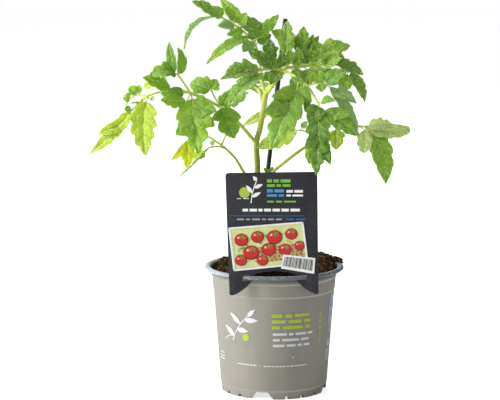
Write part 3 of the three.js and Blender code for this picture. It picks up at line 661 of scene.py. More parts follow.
pot_body = cut_with(pot_body, wide_notch(), WIDE_NOTCHES, FIRST_NOTCH)
for angle in SMALL_NOTCHES:
    pot_body = cut_with(pot_body, small_notch(), WIDE_NOTCHES, FIRST_NOTCH + angle)
pot_body = cut_with(pot_body, drain_hole(), DRAIN_HOLES, FIRST_NOTCH + math.pi / DRAIN_HOLES)
print("the pot is cut by", WIDE_NOTCHES * (1 + len(SMALL_NOTCHES)), "notches and", DRAIN_HOLES, "holes")

# %% [markdown]
# The real pot is moulded in one plastic with a band of another over its rim. It could be three objects
# here too. One body with three finishes has no seams, so each of its faces is given the finish of its
# place.

# %% The pot's coats
HAIR_GAP = 0.1
POT_SHARP = math.radians(38)


def coat_pot(pot):
    """Gives each face of the pot its finish, from where it is and where it looks."""
    pot.data.materials.clear()
    for material in POT_COATS:
        pot.data.materials.append(material)
    for face in pot.data.polygons:
        x, y, z = (value / MM for value in face.center)
        radius = math.hypot(x, y)
        inside = radius < wall_radius(z) - WALL / 2 and z > FLOOR_TOP - HAIR_GAP
        if z > NECK:
            inside = radius < MOUTH_RADIUS - RIDGE and face.normal.x * x + face.normal.y * y < 0
        on_rim = z > LIP_BOTTOM - HAIR_GAP
        face.material_index = INSIDE if inside else RIM if on_rim else OUTSIDE
    pot.data.set_sharp_from_angle(angle=POT_SHARP)


coat_pot(pot_body)
pot_body.name = "finished_pot"
finish_piece(pot_body, "pot")

# %% [markdown]
# The pot's wall carries a small print of plain motifs in white and lime: a sprig, rows of dashes, an
# oval at the side and a thin line. It could be a picture laid on the wall. A print is a film of ink,
# though, so each motif is a very thin plate that follows the wall and stays sharp from close by. The
# same plates serve the card, which is flat.

# %% Inks
INK = 0.05
SATIN, MATT = 0.4, 0.5
INK_COLOURS = {
    "white": (250, 250, 247), "chalk": (222, 224, 226), "lime": (176, 202, 62), "green": (122, 190, 66),
    "blue": (84, 150, 204), "dark_blue": (52, 104, 150), "sky": (132, 170, 198), "grey": (168, 170, 172),
    "straw": (220, 232, 160), "cream": (240, 244, 206), "pale_green": (182, 212, 116),
    "leaf_green": (122, 166, 74), "calyx_green": (118, 150, 60), "tan": (214, 170, 106),
    "brown": (158, 112, 62), "red": (206, 34, 28), "dark_red": (142, 18, 20), "light_red": (238, 120, 104),
    "black": (28, 28, 30),
}
SATIN_INKS = ("red", "dark_red", "light_red")
THIN_SHARE = 0.96


def ink_finish(name, screen):
    """Opaque ink that is a little uneven."""
    roughness = SATIN if name in SATIN_INKS else MATT
    material, tree, shader = finish_of(name + "_ink", screen, roughness)
    dull = tuple(round(channel * THIN_SHARE) for channel in screen)
    feed(shader, {"Base Color": mixed(mottled(tree, scale=500), screen, dull)})
    return material


INKS = {name: ink_finish(name, screen) for name, screen in INK_COLOURS.items()}
print("there are", len(INKS), "inks")

# %% Thin printed plates
ORDER = list(INKS)
SPOT_RINGS = (0.4, 0.75, 1.0)
BAR_STEP = 1.5


def looped(values):
    """Each value with the one after it, around a loop."""
    return zip(values, values[1:] + values[:1])


class Prints:
    """Thin plates of ink on a surface. place maps (across, up, lift), all in mm, to a point."""

    def __init__(self, name, place):
        self.name, self.place = name, place
        self.points, self.faces, self.inks = [], [], []

    def sheet(self, spots, cells, border, ink, level):
        """A closed plate over flat spots, with their cells, and the loop of spots around its border."""
        first, count = len(self.points), len(spots)
        for lift in (INK * level, INK * (level - 1)):
            self.points += [self.place(across, up, lift) for across, up in spots]
        made = [tuple(first + k for k in cell) for cell in cells]
        made += [tuple(first + count + k for k in reversed(cell)) for cell in cells]
        for here, on in looped(border):
            made.append((first + here, first + count + here, first + count + on, first + on))
        self.faces += made
        self.inks += [ORDER.index(ink)] * len(made)

    def spot(self, outline, ink, level=2):
        """A plate inside an outline that its middle can see all of, anticlockwise."""
        outline = np.array(outline, float)
        middle, count = outline.mean(axis=0), len(outline)
        spots = [tuple(middle)]
        for share in SPOT_RINGS:
            spots += [tuple(middle + share * (corner - middle)) for corner in outline]
        cells = [(0, 1 + k, 1 + (k + 1) % count) for k in range(count)]
        for ring in (1, 1 + count):
            for k in range(count):
                on = (k + 1) % count
                cells.append((ring + k, ring + count + k, ring + count + on, ring + on))
        self.sheet(spots, cells, [1 + 2 * count + k for k in range(count)], ink, level)

    def bar(self, start, end, width, ink, level=2):
        """A straight bar."""
        start, end = np.array(start, float), np.array(end, float)
        length = np.linalg.norm(end - start)
        steps = max(1, math.ceil(length / BAR_STEP))
        across = np.array([-(end - start)[1], (end - start)[0]]) / length * width / 2
        spots = []
        for share in np.linspace(0, 1, steps + 1):
            point = start + share * (end - start)
            spots += [tuple(point - across), tuple(point + across)]
        cells = [(2 * k, 2 * k + 2, 2 * k + 3, 2 * k + 1) for k in range(steps)]
        border = [2 * k for k in range(steps + 1)] + [2 * k + 1 for k in range(steps, -1, -1)]
        self.sheet(spots, cells, border, ink, level)

    def row(self, dashes, up, width, ink, level=2):
        """A level row of bars, each from one place to another."""
        for start, end in dashes:
            self.bar((start, up), (end, up), width, ink, level)

    def run(self, start, gap, rows, width, ink):
        """Level rows of bars from one place on. rows holds heights, each with the lengths of its bars."""
        for up, lengths in rows:
            left = start
            for length in lengths:
                self.bar((left, up), (left + length, up), width, ink)
                left += length + gap

    def line(self, corners, width, ink, level=2):
        """A line of bars with round joints."""
        for start, end in zip(corners, corners[1:]):
            self.bar(start, end, width, ink, level)
        for corner in corners[1:-1]:
            self.spot(ellipse(corner, width / 2, width / 2, 8), ink, level)

    def finished(self, slot):
        """The plates as one piece, with their inks."""
        piece = mesh_object(self.name, np.array(self.points) * MM, self.faces, INKS.values(), smooth=False)
        piece.data.polygons.foreach_set("material_index", self.inks)
        finish_piece(piece)


print("a plate is", INK, "mm thick")

# %% Outlines for the plates
def ellipse(middle, across, up, sides=24, turn=0.0):
    """The corners of an ellipse, anticlockwise."""
    corners = []
    for x, z in circle(1, sides):
        x, z = across * x, up * z
        corners.append((
            middle[0] + x * math.cos(turn) - z * math.sin(turn),
            middle[1] + x * math.sin(turn) + z * math.cos(turn),
        ))
    return corners


def leaf_shape(foot, tip, width, sides=7):
    """A pointed leaf outline from its foot to its tip, anticlockwise."""
    foot, tip = np.array(foot, float), np.array(tip, float)
    along = tip - foot
    across = np.array([along[1], -along[0]]) / np.linalg.norm(along)
    right, left = [], []
    for share in np.linspace(0, 1, sides):
        half = width / 2 * math.sin(math.pi * share ** 0.8)
        right.append(tuple(foot + share * along + half * across))
        left.append(tuple(foot + share * along - half * across))
    return right + left[-2:0:-1]


print("a leaf's outline has", len(leaf_shape((0, 0), (0, 1), 1)), "corners")

# %% The print on the pot
SPRIG = [(-39, 50), (-36, 58), (-31, 66), (-24, 73)]
SPRIG_TWIG = [(-50, 50), (-44, 54), (-37.5, 55)]
SPRIG_LEAVES = (
    ((-37.5, 55), (-49, 63)), ((-34.5, 61), (-23, 60)), ((-31, 66), (-42, 75)), ((-27, 70), (-14, 70)),
)
THICK_ROWS = ((74.8, (9, 6, 14)), (69.6, (12, 12, 6)), (64.4, (7, 18, 5)))
THIN_ROWS = ((58.4, (12, 4, 10, 5)), (53.4, (6, 15, 8)), (48.4, (10, 8, 4, 6)))
UPRIGHT_AT = 44.2
UPRIGHT_BARS = ((48.5, 52), (53.5, 58), (59.5, 63), (65.5, 70), (71.5, 75.5))
OVAL_AT = (65, 70)
LEFT_DASHES = ((-34, -32.2), (-31.6, -29), (-28.2, -26), (-25.4, -22.4), (-21.6, -19.2), (-18.6, -15.6))
RIGHT_DASHES = (
    (-9.5, -7.2), (-6.6, -3.4), (-2.8, -0.4), (0.2, 3.4), (4, 6.2), (6.8, 10),
    (10.6, 13), (13.6, 17), (17.6, 19.6), (20.2, 23.4), (24, 26.4), (27, 29),
)


def on_pot(across, up, lift):
    """A point on the pot's wall. across is the way along the wall from the middle of its front."""
    radius = wall_radius(up) + RIDGE + lift
    angle = across / wall_radius(up)
    return (radius * math.sin(angle), -radius * math.cos(angle), up)


pot_print = Prints("pot_print", on_pot)
pot_print.line(SPRIG, 0.9, "chalk")
pot_print.line(SPRIG_TWIG, 0.7, "chalk")
for foot, tip in SPRIG_LEAVES:
    pot_print.spot(leaf_shape(foot, tip, 4.6), "chalk")
pot_print.spot(leaf_shape(SPRIG[-1], (-17, 80), 4), "chalk")
pot_print.spot(ellipse((-25.5, 54.5), 3.2, 3.2), "lime")
pot_print.run(-2.5, 2.4, THICK_ROWS, 3, "lime")
pot_print.run(-1.5, 1.8, THIN_ROWS, 2.2, "chalk")
for start, end in UPRIGHT_BARS:
    pot_print.bar((UPRIGHT_AT, start), (UPRIGHT_AT, end), 2, "lime")
pot_print.spot(ellipse(OVAL_AT, 6.2, 17), "chalk", 2)
pot_print.spot(ellipse(OVAL_AT, 5.2, 15.6), "sky", 3)
for up in (74, 66):
    pot_print.row(((62, 67),), up, 1.4, "chalk", 4)
pot_print.row(((57.5, 63.5),), 44.5, 5, "chalk")
pot_print.row(((58.5, 62.5),), 44.5, 2.4, "sky", 3)
for up in (29.5, 31.7, 33.9, 36.1, 38.3):
    pot_print.row(((55, 60.5),), up, 0.9, "chalk")
for up in (31.2, 33.6, 36.8):
    pot_print.row(((-60, -56.5), (-55.7, -52)), up, 1, "chalk")
pot_print.row(LEFT_DASHES, 30.4, 1.1, "chalk")
pot_print.row(((-12.8, -12.1),), 30.2, 0.8, "chalk")
pot_print.row(RIGHT_DASHES, 30, 1.1, "chalk")
pot_print.spot(ellipse((16, 37.6), 0.6, 0.6, 8), "chalk")
pot_print.finished("pot")

# %% [markdown]
# The card is one sheet of charcoal plastic that straddles the pot's rim. An arch is cut out of its lower
# edge, and a slit at each side of the arch takes the rim. It stands a little rolled to one side. It could
# be cut out of a box with Booleans. The outline is drawn as one flat face instead, because its curves are
# simple, and that face is drawn out to the sheet's thickness and its long edges are rounded.

# %% The card's finish and outline
CARD_FRONT = -55.4
CARD_THICKNESS = 0.6
CARD_LEFT, CARD_FOOT_LEFT, CARD_RIGHT = -40.6, -38.6, 36.9
CARD_BOTTOM, CARD_TOP = 94, 198.8
CARD_CORNER = 3
CARD_ROLL = math.radians(0.8)
LEG_CORNER = 1.5
LEG_LEFT, LEG_RIGHT = -35.5, 34.8
LEG_REACH, LEG_RISE = 9, 3
ARCH_LEFT, ARCH_RIGHT = -19.4, 18.5
ARCH_TOP = 118
ARCH_STEPS = 24
SLIT_REACH = 27.4
SLIT_BOTTOM, SLIT_TOP = 106.2, 110.6


def card_finish():
    """Charcoal plastic with a fine grain and a little dust."""
    material, tree, shader = finish_of("plant_label", (50, 51, 55), 0.6, Specular_IOR_Level=0.2)
    cloud = mottled(tree, scale=60, detail=4)
    dust = ramped(mottled(tree, scale=1200, detail=2), 0.85, 1.0, 0.0, 0.2)
    cloudy = mixed(cloud, (46, 47, 51), (55, 56, 60))
    feed(shader, {
        "Base Color": mixed(dust, cloudy, (120, 118, 114)),
        "Roughness": ramped(cloud, 0, 1, 0.52, 0.66),
        "Normal": grained(tree, scale=1500, depth=0.00005),
    })
    return material


def card_outline():
    """The corners of the card, anticlockwise from its top, before the roll."""
    leg_middle = CARD_BOTTOM + LEG_RISE
    line = [(CARD_LEFT + CARD_CORNER, CARD_TOP)]
    line += bend(line[-1], (CARD_LEFT, CARD_TOP), (CARD_LEFT, CARD_TOP - CARD_CORNER))
    line.append((CARD_FOOT_LEFT, CARD_BOTTOM + LEG_CORNER))
    line += bend(line[-1], (CARD_FOOT_LEFT, CARD_BOTTOM), (CARD_FOOT_LEFT + LEG_CORNER, CARD_BOTTOM))
    line.append((LEG_LEFT, CARD_BOTTOM))
    line += bend(line[-1], (LEG_LEFT + LEG_REACH, leg_middle), (ARCH_LEFT, SLIT_BOTTOM))
    line += [(-SLIT_REACH, SLIT_BOTTOM), (-SLIT_REACH, SLIT_TOP), (ARCH_LEFT - LEG_CORNER, SLIT_TOP)]
    arch_middle = ((ARCH_LEFT + ARCH_RIGHT) / 2, ARCH_TOP)
    line += bend(line[-1], arch_middle, (ARCH_RIGHT + LEG_CORNER, SLIT_TOP), ARCH_STEPS)
    line += [(SLIT_REACH, SLIT_TOP), (SLIT_REACH, SLIT_BOTTOM), (ARCH_RIGHT, SLIT_BOTTOM)]
    line += bend(line[-1], (LEG_RIGHT - LEG_REACH, leg_middle), (LEG_RIGHT, CARD_BOTTOM))
    line.append((CARD_RIGHT - LEG_CORNER, CARD_BOTTOM))
    line += bend(line[-1], (CARD_RIGHT, CARD_BOTTOM), (CARD_RIGHT, CARD_BOTTOM + LEG_CORNER))
    line.append((CARD_RIGHT, CARD_TOP - LEG_CORNER))
    line += bend(line[-1], (CARD_RIGHT, CARD_TOP), (CARD_RIGHT - LEG_CORNER, CARD_TOP))
    return line


def rolled(x, z):
    """A point of the card after its roll about the middle of the rim."""
    across, up = x - (CARD_LEFT + CARD_RIGHT) / 2, z - POT_HEIGHT
    return (
        (CARD_LEFT + CARD_RIGHT) / 2 + across * math.cos(CARD_ROLL) - up * math.sin(CARD_ROLL),
        POT_HEIGHT + across * math.sin(CARD_ROLL) + up * math.cos(CARD_ROLL),
    )


outline = [rolled(x, z) for x, z in card_outline()]
print("the card's outline has", len(outline), "corners")

# %% The card
EDGE_REACH = 0.12
EDGE_STEPS = 2
EDGE_FROM = math.radians(60)
CARD_SHARP = math.radians(40)

count = len(outline)
card_points = [(x, y, z) for y in (CARD_FRONT, CARD_FRONT + CARD_THICKNESS) for x, z in outline]
card_faces = [tuple(range(count)), tuple(reversed(range(count, 2 * count)))]
card_faces += [(k, count + k, count + (k + 1) % count, (k + 1) % count) for k in range(count)]
card = mesh_object("card", np.array(card_points) * MM, card_faces, [card_finish()])
edge = card.modifiers.new("edge", "BEVEL")
edge.width = EDGE_REACH * MM
edge.segments = EDGE_STEPS
edge.limit_method = "ANGLE"
edge.angle_limit = EDGE_FROM
card = settled("finished_card", card)
card.data.set_sharp_from_angle(angle=CARD_SHARP)
finish_piece(card, "plant_label")

# %% [markdown]
# The card's print is a framed picture of ripe fruits that lie among pale leaves on a woven mat, set at a
# slight angle, with a few plain marks: a white box with upright bars, a ball, a small sprig and rows of
# dashes. Everything is drawn with the plates that the pot's print uses. Each layer lies a hair above the
# one below it.

# %% The picture on the card
PICTURE = [(-38.8, 151.2), (-34.5, 115.1), (27.9, 121.3), (23.4, 156.3)]
FRAME_WIDTH = 1.3
PALE_LEAVES = 70
LEAF_INKS = ("pale_green", "pale_green", "cream", "leaf_green")
MAT_ROWS, MAT_CELLS = 5, 22
MAT_TOP, MAT_FOOT = 0.46, 0.16
MAT_LEFT, MAT_RIGHT = 0.3, 0.96
STRAW_LENGTH, STRAW_WIDTH = 0.028, 2.1
RED_FRUITS = [
    (0.15, 0.70, 6.0), (0.37, 0.74, 5.6), (0.60, 0.70, 6.6), (0.83, 0.74, 5.4), (0.26, 0.38, 6.8),
    (0.50, 0.42, 6.2), (0.72, 0.38, 5.6), (0.92, 0.44, 4.6), (0.11, 0.22, 5.2), (0.40, 0.17, 5.0),
]
SHINES = ((-0.42, 0.24, "light_red", 2), (-0.45, 0.12, "white", 3), (0.4, 0.14, "light_red", 2))
SHINE_TURN = 0.7
STAR_POINTS = 5
LEAF_LEVEL, MAT_LEVEL, FRUIT_LEVEL, FRAME_LEVEL, BOX_LEVEL, BAR_LEVEL = 3, 6, 7, 17, 18, 20


def on_card(across, up, lift):
    """A point on the card's front."""
    return (across, CARD_FRONT - lift, up)


def between(start, end, share):
    """The place at a share of the way from start to end."""
    return tuple(a + share * (b - a) for a, b in zip(start, end))


def in_picture(right, up):
    """The place of a share of the picture's width and height."""
    left_top, left_foot, right_foot, right_top = PICTURE
    return between(between(left_foot, right_foot, right), between(left_top, right_top, right), up)


def star(middle, reach, points, turn):
    """A star with narrow pointed arms, anticlockwise."""
    corners = []
    for k in range(2 * points):
        angle = turn + math.pi * k / points
        radius = reach if k % 2 == 0 else 0.3 * reach
        corners.append((middle[0] + radius * math.cos(angle), middle[1] + 0.8 * radius * math.sin(angle)))
    return corners


def fruit(k, middle, radius):
    """A ripe fruit with a shaded edge, three shines and a green star."""
    def beside(across, up):
        return (middle[0] + across * radius, middle[1] + up * radius)
    level = FRUIT_LEVEL + 3 * (k % 3)
    card_print.spot(ellipse(middle, radius, 0.92 * radius), "dark_red", level)
    card_print.spot(ellipse(beside(-0.06, 0.07), 0.9 * radius, 0.82 * radius), "red", level + 1)
    for side, size, ink, above in SHINES:
        spot = ellipse(beside(side, 0.3), size * radius, 0.8 * size * radius, 12, SHINE_TURN)
        card_print.spot(spot, ink, level + above)
    card_print.spot(star(beside(0.14, 0.42), 0.6 * radius, STAR_POINTS, 0.4 * k), "calyx_green", level + 2)


print("the picture is", round(math.dist(PICTURE[0], PICTURE[3])), "mm wide at its top")

# %% The picture's layers
card_print = Prints("card_print", on_card)
frame_corners = [in_picture(*corner) for corner in ((0, 0), (1, 0), (1, 1), (0, 1))]
card_print.spot(frame_corners, "white", level=1)
inner = [in_picture(*corner) for corner in ((0.018, 0.03), (0.982, 0.03), (0.982, 0.97), (0.018, 0.97))]
card_print.spot(inner, "straw", level=2)
sprig = random.Random(11)
for k in range(PALE_LEAVES):
    foot = in_picture(sprig.uniform(0.1, 0.9), sprig.uniform(0.16, 0.84))
    angle = sprig.uniform(0, 2 * math.pi)
    reach = sprig.uniform(3, 6)
    tip = (foot[0] + reach * math.cos(angle), foot[1] + 0.8 * reach * math.sin(angle))
    ink = sprig.choice(LEAF_INKS)
    card_print.spot(leaf_shape(foot, tip, sprig.uniform(1.6, 3)), ink, level=LEAF_LEVEL + k % 3)
for row in range(MAT_ROWS):
    up = MAT_FOOT + (MAT_TOP - MAT_FOOT) * row / (MAT_ROWS - 1)
    for cell in range(MAT_CELLS):
        right = MAT_LEFT + (MAT_RIGHT - MAT_LEFT) * (cell + 0.5 * (row % 2)) / MAT_CELLS
        foot, tip = in_picture(right, up), in_picture(right + STRAW_LENGTH, up)
        card_print.bar(foot, tip, STRAW_WIDTH, ("tan", "brown")[(cell + row) % 2], level=MAT_LEVEL)
for k, (right, up, radius) in enumerate(RED_FRUITS):
    fruit(k, in_picture(right, up), radius)
for start, end in looped(frame_corners):
    card_print.bar(start, end, FRAME_WIDTH, "white", level=FRAME_LEVEL)
print("the picture has", len(RED_FRUITS), "fruits and", PALE_LEAVES, "leaves")

# %% The card's marks
BOX = [(6.9, 128.9), (5.2, 116.8), (33.3, 112.2), (34.2, 125.7)]
BOX_START, BOX_SPAN = 0.07, 0.86
BAR_WIDTHS = (
    0.5, 0.3, 0.8, 0.4, 0.4, 0.9, 0.3, 0.6, 0.4, 0.4, 0.8, 0.3,
    0.5, 0.9, 0.4, 0.3, 0.7, 0.4, 0.8, 0.3, 0.5, 0.4, 0.9, 0.4,
)
BAR_ABOVE_FOOT, BAR_BELOW_TOP = 2.4, 1.6
PICTURE_CENTRE = (250, 200)
CENTRE_ON_CARD = (-21, 175.2)
MM_PER_COLUMN, MM_PER_ROW = 0.841, 0.8507
SMALL_SPRIG = ((251, 203), (252, 195), (254, 187), (257, 180))
SMALL_LEAVES = (
    ((252, 197), (261, 192)), ((252.5, 193), (246, 185)), ((254, 188), (263, 184)), ((257, 181), (253, 176)),
)
MARK_ROWS = [
    (198.5, 0.6, "white", ((237, 241), (243, 249))),
    (180.8, 2.6, "green", ((267, 272), (273.5, 279), (280.5, 290.5))),
    (185.4, 2.2, "green", ((267, 275), (276.5, 281), (282.5, 290.5))),
    (190.8, 2.6, "blue", ((267, 273), (274.5, 284))),
    (195.4, 2.0, "blue", ((267, 277), (278.5, 284))),
    (191.2, 2.2, "white", ((286.5, 293), (294.5, 303))),
    (195.4, 1.6, "white", ((286.5, 291), (292.5, 303))),
    (201.5, 1.4, "green", ((267, 274), (276, 282), (284, 296))),
    (210, 2.4, "white", ((242.5, 248), (249.5, 257), (258.5, 262.5), (264, 271))),
    (210, 2.4, "white", ((272.5, 280), (281.5, 289), (290.5, 300))),
    (215.8, 0.5, "dark_blue", ((229, 305),)),
    (219.3, 1.3, "grey", ((237, 244), (246, 250), (252, 260), (262, 266), (268, 274), (276, 282))),
    (219.3, 1.4, "dark_blue", ((286, 294), (296, 305.5))),
]

card_print.spot(BOX, "white", level=BOX_LEVEL)
for k, width in enumerate(BAR_WIDTHS):
    share = BOX_START + BOX_SPAN * k / (len(BAR_WIDTHS) - 1)
    foot, top = between(BOX[1], BOX[2], share), between(BOX[0], BOX[3], share)
    foot, top = (foot[0], foot[1] + BAR_ABOVE_FOOT), (top[0], top[1] - BAR_BELOW_TOP)
    card_print.bar(foot, top, width, "black", level=BAR_LEVEL)


def card_at(column, row):
    """The place on the card that a 500 by 400 picture from the camera shows at that column and row."""
    across = CENTRE_ON_CARD[0] + MM_PER_COLUMN * (column - PICTURE_CENTRE[0])
    return (across, CENTRE_ON_CARD[1] + MM_PER_ROW * (PICTURE_CENTRE[1] - row))


card_print.spot(ellipse(card_at(244.5, 192.5), 4.6, 4.6), "lime")
card_print.line([card_at(*spot) for spot in SMALL_SPRIG], 0.8, "white", 3)
for foot, tip in SMALL_LEAVES:
    card_print.spot(leaf_shape(card_at(*foot), card_at(*tip), 3.2), "white", 3)
for row, width, ink, dashes in MARK_ROWS:
    for left, right in dashes:
        card_print.bar(card_at(left, row), card_at(right, row), width, ink)
card_print.finished("plant_label")

# %% [markdown]
# The soil is dark peat: fine black crumbs, with brown fibres and paler specks of wood and sand among
# them. It lies low in the front of the pot and is heaped at the back. A sculpted surface would do. The
# body is a turned heap instead, whose top is lifted by the same slopes as in the frame, and by noise for
# the clods, because every slope then has a number.

# %% The soil's finishes
CRUMB_SHADES = (
    (0.0, (24, 15, 10)), (0.4, (58, 39, 26)), (0.7, (98, 68, 46)), (0.92, (134, 102, 72)),
    (1.0, (180, 152, 118)),
)
CLOD_BUMP = 0.0012


def attribute(tree, name, output="Fac"):
    """A value that the mesh carries by that name."""
    return out_of(tree, "ShaderNodeAttribute", output, attribute_name=name)


def with_painted_shadow(colour):
    """The colour with a painted shadow: darker at the front of the pot and behind the card."""
    axes = object_axes(tree_of(colour))
    # Painted shadow at the front of the pot and behind the card.
    front = ramped(axes["Y"], -0.034, -0.008, 0.88, 0.0)
    shaded = ramped(worked("ABSOLUTE", axes["X"]), 0.02, 0.029, 0.9, 0.0)
    behind = times(shaded, ramped(axes["Y"], 0.02, 0.045, 1.0, 0.0))
    return mixed(worked("MAXIMUM", front, behind), colour, (12, 10, 9))


def peat_finish():
    """Dark crumbly peat with brown and pale specks."""
    material, tree, shader = finish_of("peat", (44, 30, 20), 0.95, Specular_IOR_Level=0.05)
    clods = mottled(tree, scale=240, detail=8)
    specks = ramped(mottled(tree, scale=700, detail=2), 0.88, 0.98)
    specked = mixed(specks, mixed(clods, (34, 22, 15), (96, 68, 46)), (112, 86, 62))
    bump = {"Distance": CLOD_BUMP, "Height": clods}
    feed(shader, {
        "Base Color": with_painted_shadow(specked),
        "Normal": out_of(tree, "ShaderNodeBump", "Normal", bump),
    })
    return material


def crumb_finish():
    """Each crumb has a shade of its own, from nearly black through brown to straw."""
    material, tree, shader = finish_of("soil_crumbs", (52, 36, 24), 0.95, Specular_IOR_Level=0.05)
    colours = add_node(tree, "ShaderNodeValToRGB", {"Fac": attribute(tree, "shade")})
    ramp = colours.color_ramp
    while len(ramp.elements) < len(CRUMB_SHADES):
        ramp.elements.new(0.5)
    for element, (position, screen) in zip(ramp.elements, CRUMB_SHADES):
        element.position = position
        element.color = light_of(screen)
    dark = times(mottled(tree, scale=1500, detail=2), 0.35)
    shaded = mixed(dark, colours.outputs["Color"], (18, 11, 8))
    feed(shader, {"Base Color": with_painted_shadow(shaded)})
    return material


PEAT = peat_finish()
CRUMBS = crumb_finish()
print("the peat has", len(CRUMB_SHADES), "shades")

# %% The soil's body
SOIL_EDGE = 51.65
SOIL_EDGE_Z = 100
SOIL_MIDDLE_Z = 105
SOIL_SLOPE = 0.09
SOIL_HEAPS = [(38, 27, 8), (-38, 30, 3.5), (46, 2, 3.5)]
HEAP_SPREAD = 22
CLOD = 1.3
CLOD_SCALE = 0.22
GAP = 0.3
SOIL_RINGS = 56
OUTER_RING = 0.985


def soil_height(x, y):
    """The height of the soil, in mm."""
    lumps = 1.1 * math.sin(x / 6 + 1) * math.cos(y / 7) + 0.8 * math.sin((x + y) / 4.2)
    height = SOIL_MIDDLE_Z + SOIL_SLOPE * y + lumps
    for heap_x, heap_y, rise in SOIL_HEAPS:
        height += rise * math.exp(-((x - heap_x) ** 2 + (y - heap_y) ** 2) / HEAP_SPREAD ** 2)
    return height + CLOD * noise.fractal(Vector((x, y, 0)) * CLOD_SCALE, 0.8, 2.1, 5)


def soil_body():
    """Points and faces of the soil, from the pot's floor to its clods."""
    profile = [(0, FLOOR_TOP + GAP)]
    shoulder = SOIL_EDGE_Z - 4
    for z in (FLOOR_TOP + GAP, shoulder):
        profile.append((wall_radius(z) - WALL - 2 * GAP, z))
    profile.append((SOIL_EDGE, SOIL_EDGE_Z))
    profile += [(SOIL_EDGE * share, SOIL_MIDDLE_Z) for share in np.linspace(OUTER_RING, 0, SOIL_RINGS)]
    points, faces = turned(profile, POT_SECTORS)
    for point in points:
        if point[2] > shoulder + 1:
            point[2] = soil_height(point[0], point[1])
    return points, faces


soil_points, soil_faces = soil_body()
soil = mesh_object("finished_soil", soil_points * MM, soil_faces, [PEAT])
finish_piece(soil, "soil")

# %% [markdown]
# Loose crumbs and fibres lie on the heap, and small hairs will stand on the stem. Particles could be set
# over both. All three are small shapes that repeat over a surface, so one Geometry Nodes tree serves
# them: it spreads points over the faces, sets a copy on each, tilts and spins it at random, and stores a
# random shade for its colour.

# %% The scatter tree
def random_value(group, kind, output, inputs):
    """One output of a Random Value node."""
    return out_of(group, "FunctionNodeRandomValue", output, inputs, data_type=kind)


def scatter_group():
    """Scatters the objects of a collection over the faces of the geometry."""
    group, given = geometry_group("Scatter", {
        "Shapes": ("Collection", None), "Density": ("Float", 1000.0), "Smallest": ("Float", 0.5),
        "Largest": ("Float", 1.5), "Tilt": ("Float", 3.2), "Seed": ("Int", 1),
    })
    inputs = {"Mesh": given["Geometry"], "Density": given["Density"], "Seed": given["Seed"]}
    spread = add_node(group, "GeometryNodeDistributePointsOnFaces", inputs)
    inputs = {"Collection": given["Shapes"], "Separate Children": True, "Reset Children": True}
    shapes = out_of(group, "GeometryNodeCollectionInfo", "Instances", inputs)
    back = times(given["Tilt"], -1)
    least = out_of(group, "ShaderNodeCombineXYZ", "Vector", {"X": back, "Y": back, "Z": -math.pi})
    most = {"X": given["Tilt"], "Y": given["Tilt"], "Z": math.pi}
    most = out_of(group, "ShaderNodeCombineXYZ", "Vector", most)
    turn = random_value(group, "FLOAT_VECTOR", 0, {0: least, 1: most, "Seed": given["Seed"]})
    euler = out_of(group, "FunctionNodeEulerToRotation", "Rotation", {"Euler": turn})
    both = {"Rotation": spread.outputs["Rotation"], "Rotate By": euler}
    turned_by = out_of(group, "FunctionNodeRotateRotation", "Rotation", both, rotation_space="LOCAL")
    sizes = {2: given["Smallest"], 3: given["Largest"], "Seed": given["Seed"]}
    copies = out_of(group, "GeometryNodeInstanceOnPoints", "Instances", {
        "Points": spread.outputs["Points"], "Instance": shapes, "Pick Instance": True,
        "Rotation": turned_by, "Scale": random_value(group, "FLOAT", 1, sizes),
    })
    store = add_node(group, "GeometryNodeStoreNamedAttribute", data_type="FLOAT", domain="INSTANCE")
    shade = random_value(group, "FLOAT", 1, {2: 0, 3: 1})
    feed(store, {"Geometry": copies, "Name": "shade", "Value": shade})
    return end_tree(group, given, store.outputs["Geometry"])


SCATTER = scatter_group()


def scattered(name, over, shapes, material, **values):
    """The shapes scattered over the object, which is removed with the shapes."""
    holder = bpy.data.collections.new(name + "_shapes")
    for shape in shapes:
        bpy.context.scene.collection.objects.unlink(shape)
        holder.objects.link(shape)
    over.name = name
    made = apply_nodes(over, SCATTER, Shapes=holder, Material=material, **values)
    for shape in shapes:
        bpy.data.objects.remove(shape)
    bpy.data.collections.remove(holder)
    return made


print("the scatter tree has", len(SCATTER.nodes), "nodes")

# %% Crumbs and fibres
CRUMB_RADIUS = 0.5
CRUMB_FLAT = 0.8
FIBRE_STEPS, FIBRE_SIDES = 5, 3
FIBRE_LENGTH, FIBRE_RADIUS = 3, 0.11
FIBRE_SWAY = 0.5


def crumb(seed):
    """A small angular lump, about one millimetre across."""
    shape = bmesh.new()
    bmesh.ops.create_icosphere(shape, subdivisions=1, radius=CRUMB_RADIUS * MM)
    dice = random.Random(seed)
    for point in shape.verts:
        point.co *= dice.uniform(0.65, 1.25)
        point.co.z *= CRUMB_FLAT
    data = bpy.data.meshes.new("crumb")
    shape.to_mesh(data)
    shape.free()
    return in_scene("crumb", data)


